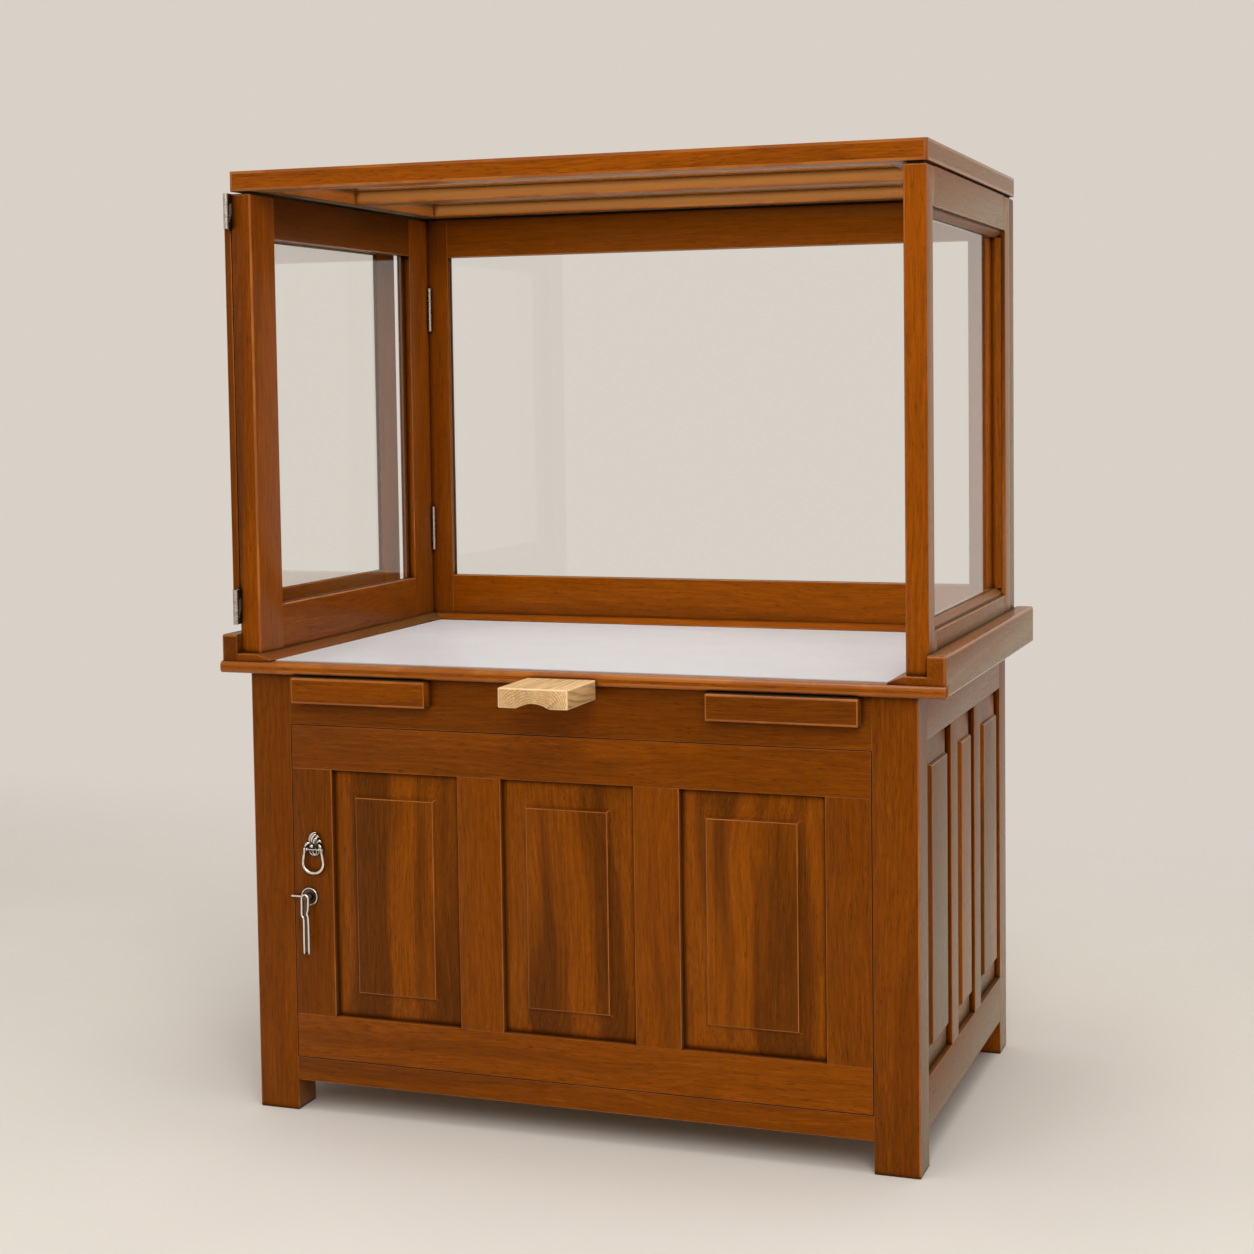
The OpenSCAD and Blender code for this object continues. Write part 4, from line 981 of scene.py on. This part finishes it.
class CABINET_OT_latch(bpy.types.Operator):
    """Makes the latch: a rimmed rose, and a lever of two rods bent from one, with a thin web between them"""

    bl_idname = "cabinet.latch"
    bl_label = "Latch"

    def execute(self, context):
        finish = [bpy.data.materials[name] for name in ("polished_nickel", "tarnished_nickel")]
        at = points_from("latch_turn")
        base = at([(0, 0)], 0)[0]
        left, front, foot = (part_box("latch_lever")[0] - Vector(base)) / MM
        out = -front - 3

        dish = np.array([(4.2, 0), (14.4, 0), (14.8, 0.8), (14.0, 1.6), (11.6, 1.5), (7.5, 1.9), (4.2, 2.1)]) * MM
        dish = turned(np.concatenate([dish, dish[:1]]), base)
        rim = hoop(base - (0, 1.9 * MM, 0), 13.4 * MM, 2.4 * MM, 2.6 * MM)
        casting("latch_rose_and_rim", [rim], [dish], finish, "latch_rose")

        arch = np.linspace(math.pi, 0, 12)
        bend = [(-5.9, -27.5), (-6.0, -16), *zip(5.8 * np.cos(arch), 5.8 * np.sin(arch)), (5.2, -16), (3.2, -25)]
        outline = [(-2.6, foot + 0.6), (-2.7, -60), (-2.8, -34.0), *bend, (5.2, -32.0), (5.6, -60), (5.6, foot)]
        path = smooth_path(at(outline, out), 150)
        lever = [rod(path, 3.5 * MM * round_ends(150, 0.008), 5.2 * MM * round_ends(150, 0.008), 16)]
        web = smooth_path(at([(0, 3), (-0.6, -26), (1.2, -34), (1.5, foot + 3)], out - 1.2), 40)
        web = rod(web, 8.5 * MM, 1.6 * MM * round_ends(40, 0.03), 12)
        reach = np.array([
            (0, 0.4), (4.0, 0.4), (4.0, 3.4), (5.6, 3.6), (6.0, 5.2), (5.6, 7.0), (4.6, 8.2), (4.4, 18.4),
            (3.2, 19.4), (0, 19.6),
        ])
        reach[:, 1] *= (out + 1.8) / 19.6
        spindle_form = turned(reach * MM, base, sides=24)
        tongue = np.linspace(*at([(left, 0), (0, 0)], 4.65), 20)
        lever.append(rod(tongue, 3.2 * MM * round_ends(20, 0.05), 2.4 * MM * round_ends(20, 0.05), 12))
        casting("latch_bar", lever, [web, spindle_form], finish, "latch_lever")
        return {"FINISHED"}


class CABINET_OT_hinges(bpy.types.Operator):
    """Finishes the dark steel hinges of the folding side and leaf"""

    bl_idname = "cabinet.hinges"
    bl_label = "Hinges"

    def execute(self, context):
        s = context.scene.cabinet_metal
        dark = metal("dark_steel", s.steel, s.shade_and_dirt, 0.30, 0.48, 0.003)
        # Painted highlight: the hinges' rounded edges and the narrow faces of their knuckles are pale steel
        bright = metal("rubbed_steel_edges", s.wear_and_highlight, s.shade_and_dirt, 0.18, 0.34, 0.0015)
        for node in ("fold_hinge_fixed", "fold_hinge_moving", "leaf_hinge_fixed", "leaf_hinge_moving"):
            eased(node, dark, 0.0005, 0.0003, edges=bright)
        return {"FINISHED"}


class CABINET_OT_stage(bpy.types.Operator):
    """Makes the pale floor and backdrop, the soft lights and the camera"""

    bl_idname = "cabinet.stage"
    bl_label = "Floor, lights and camera"

    def execute(self, context):
        s = context.scene.cabinet_stage
        # The sheet runs back along the floor, turns up in a quarter circle of radius turn, and climbs
        turn, reach, back, high, wide = 1.6, 7.0, 4.2, 6.0, 9.0
        angle = np.linspace(0, math.pi / 2, 25)
        y = np.concatenate([np.linspace(-reach, back - turn, 12)[:-1], back - turn + turn * np.sin(angle), [back]])
        z = np.concatenate([np.zeros(11), turn - turn * np.cos(angle), [high]])
        x = np.linspace(-wide, wide, 2)
        points = np.stack([np.repeat(x, len(y)), np.tile(y, 2), np.tile(z, 2)], -1)
        sweep = mesh_object("floor_sweep", points, grid_faces(2, len(y))[:, ::-1])
        m, tree, shader = new_material("studio_paper")
        rub = wear_and_highlight(tree, 0.8, 30.0, 0.82, 0.95)
        darker = tuple(0.97 * c for c in s.floor)
        feed(
            tree, shader, Base_Color=mix(tree, rub["Mask"], s.floor, darker),
            Roughness=rub["Roughness"], Specular_IOR_Level=0.2,
        )
        # Towards its upright part the sheet shows its own even colour to the camera, in gloss and through glass
        depth = new_node(tree, "ShaderNodeSeparateXYZ", {0: object_coordinates(tree)}).outputs[1]
        even = times(tree, seen_plainly(tree), remap(tree, depth, 0.6, 2.3))
        glow = new_node(tree, "ShaderNodeEmission", {"Color": s.backdrop}).outputs[0]
        blend_shaders(tree, even, shader.outputs[0], glow, output_of(tree))
        sweep.data.materials.append(m)

        world = bpy.data.worlds.new("studio")
        context.scene.world = world
        world.use_nodes = True
        tree = world.node_tree
        sky = tree.nodes["Background"]
        sky.inputs["Color"].default_value = (1.0, 0.985, 0.96, 1)
        sky.inputs["Strength"].default_value = s.sky
        # Past the sheet's ends the camera, gloss and glass see the sheet's own pale colour
        pale = new_node(tree, "ShaderNodeBackground", {"Color": s.backdrop}).outputs[0]
        blend_shaders(tree, seen_plainly(tree), sky.outputs[0], pale, tree.nodes["World Output"])

        # The thin light gives the rounded edges their bright lines
        for name, place, aim, size, power in (
            ("key_light", (2.0, -4.2, 3.6), (0, 0, 0.8), (2.6, 2.6), s.key),
            ("top_light", (0.2, -0.4, 4.6), (0, 0, 0.7), (3.2, 3.2), s.top),
            ("strip_light", (0.2, -2.6, 4.2), (0, 0, 0.8), (3.4, 0.22), s.strip),
        ):
            light = bpy.data.lights.new(name, "AREA")
            light.shape, light.size, light.size_y, light.energy = "RECTANGLE", *size, power
            ob = bpy.data.objects.new(name, light)
            ob.location = place
            way = np.array(aim) - np.array(place)
            ob.rotation_euler = (
                math.pi / 2 + math.atan2(way[2], math.hypot(way[0], way[1])), 0, math.atan2(-way[0], way[1])
            )
            context.scene.collection.objects.link(ob)

        self.camera(context)
        context.scene.view_settings.view_transform = "Standard"
        return {"FINISHED"}

    def camera(self, context):
        """The photograph's view, fitted to the straight edges of the cabinet: a place, three turns and a lens."""
        pixels, focal, off_x, off_y = 1254, 2097.48, 87.94, -115.84
        yaw, pitch, roll = -0.32717, -0.05969, -0.01119
        side = np.array([math.cos(yaw), -math.sin(yaw), 0])
        ahead = np.array([math.sin(yaw) * math.cos(pitch), math.cos(yaw) * math.cos(pitch), math.sin(pitch)])
        up = np.cross(side, ahead)
        x = side * math.cos(roll) + up * math.sin(roll)
        y = up * math.cos(roll) - side * math.sin(roll)
        camera = bpy.data.cameras.new("camera")
        camera.sensor_width = 36
        camera.lens = 36 * focal / pixels
        camera.shift_x = -off_x / pixels
        camera.shift_y = off_y / pixels
        camera.clip_end = 60
        ob = bpy.data.objects.new("camera", camera)
        ob.matrix_world = Matrix(
            [[*row, place] for row, place in zip(np.stack([x, y, -ahead], 1), (1.24102, -3.22100, 1.16418))]
            + [[0, 0, 0, 1]]
        )
        context.scene.collection.objects.link(ob)
        context.scene.camera = ob


class CABINET_PT_panel(bpy.types.Panel):
    """Shows a button for each finishing step and the settings of each finish"""

    bl_label = "Bench cabinet"
    bl_idname = "CABINET_PT_panel"
    bl_space_type = "VIEW_3D"
    bl_region_type = "UI"
    bl_category = "Bench cabinet"

    def draw(self, context):
        for operator in OPERATORS:
            self.layout.operator(operator.bl_idname)
        for key, kind in SETTINGS.items():
            box = self.layout.box()
            settings = getattr(context.scene, key)
            for name in kind.__annotations__:
                box.prop(settings, name)


SETTINGS = {
    "cabinet_wood": WoodSettings,
    "cabinet_inner": InnerWoodSettings,
    "cabinet_top": TopSettings,
    "cabinet_pin": PinSettings,
    "cabinet_glass": GlassSettings,
    "cabinet_metal": MetalSettings,
    "cabinet_stage": StageSettings,
}
OPERATORS = (
    CABINET_OT_stage,
    CABINET_OT_carcass,
    CABINET_OT_door,
    CABINET_OT_drawers,
    CABINET_OT_inside,
    CABINET_OT_worktop,
    CABINET_OT_bench_pin,
    CABINET_OT_hood,
    CABINET_OT_glass,
    CABINET_OT_ring_pull,
    CABINET_OT_latch,
    CABINET_OT_hinges,
)


def register():
    for kind in (*SETTINGS.values(), *OPERATORS, CABINET_PT_panel):
        bpy.utils.register_class(kind)
    for key, kind in SETTINGS.items():
        setattr(bpy.types.Scene, key, PointerProperty(type=kind))


def unregister():
    for key in SETTINGS:
        delattr(bpy.types.Scene, key)
    for kind in (CABINET_PT_panel, *reversed(OPERATORS), *reversed(SETTINGS.values())):
        bpy.utils.unregister_class(kind)


def main():
    register()
    for operator in OPERATORS:
        area, name = operator.bl_idname.split(".")
        getattr(getattr(bpy.ops, area), name)()


if __name__ == "__main__":
    main()
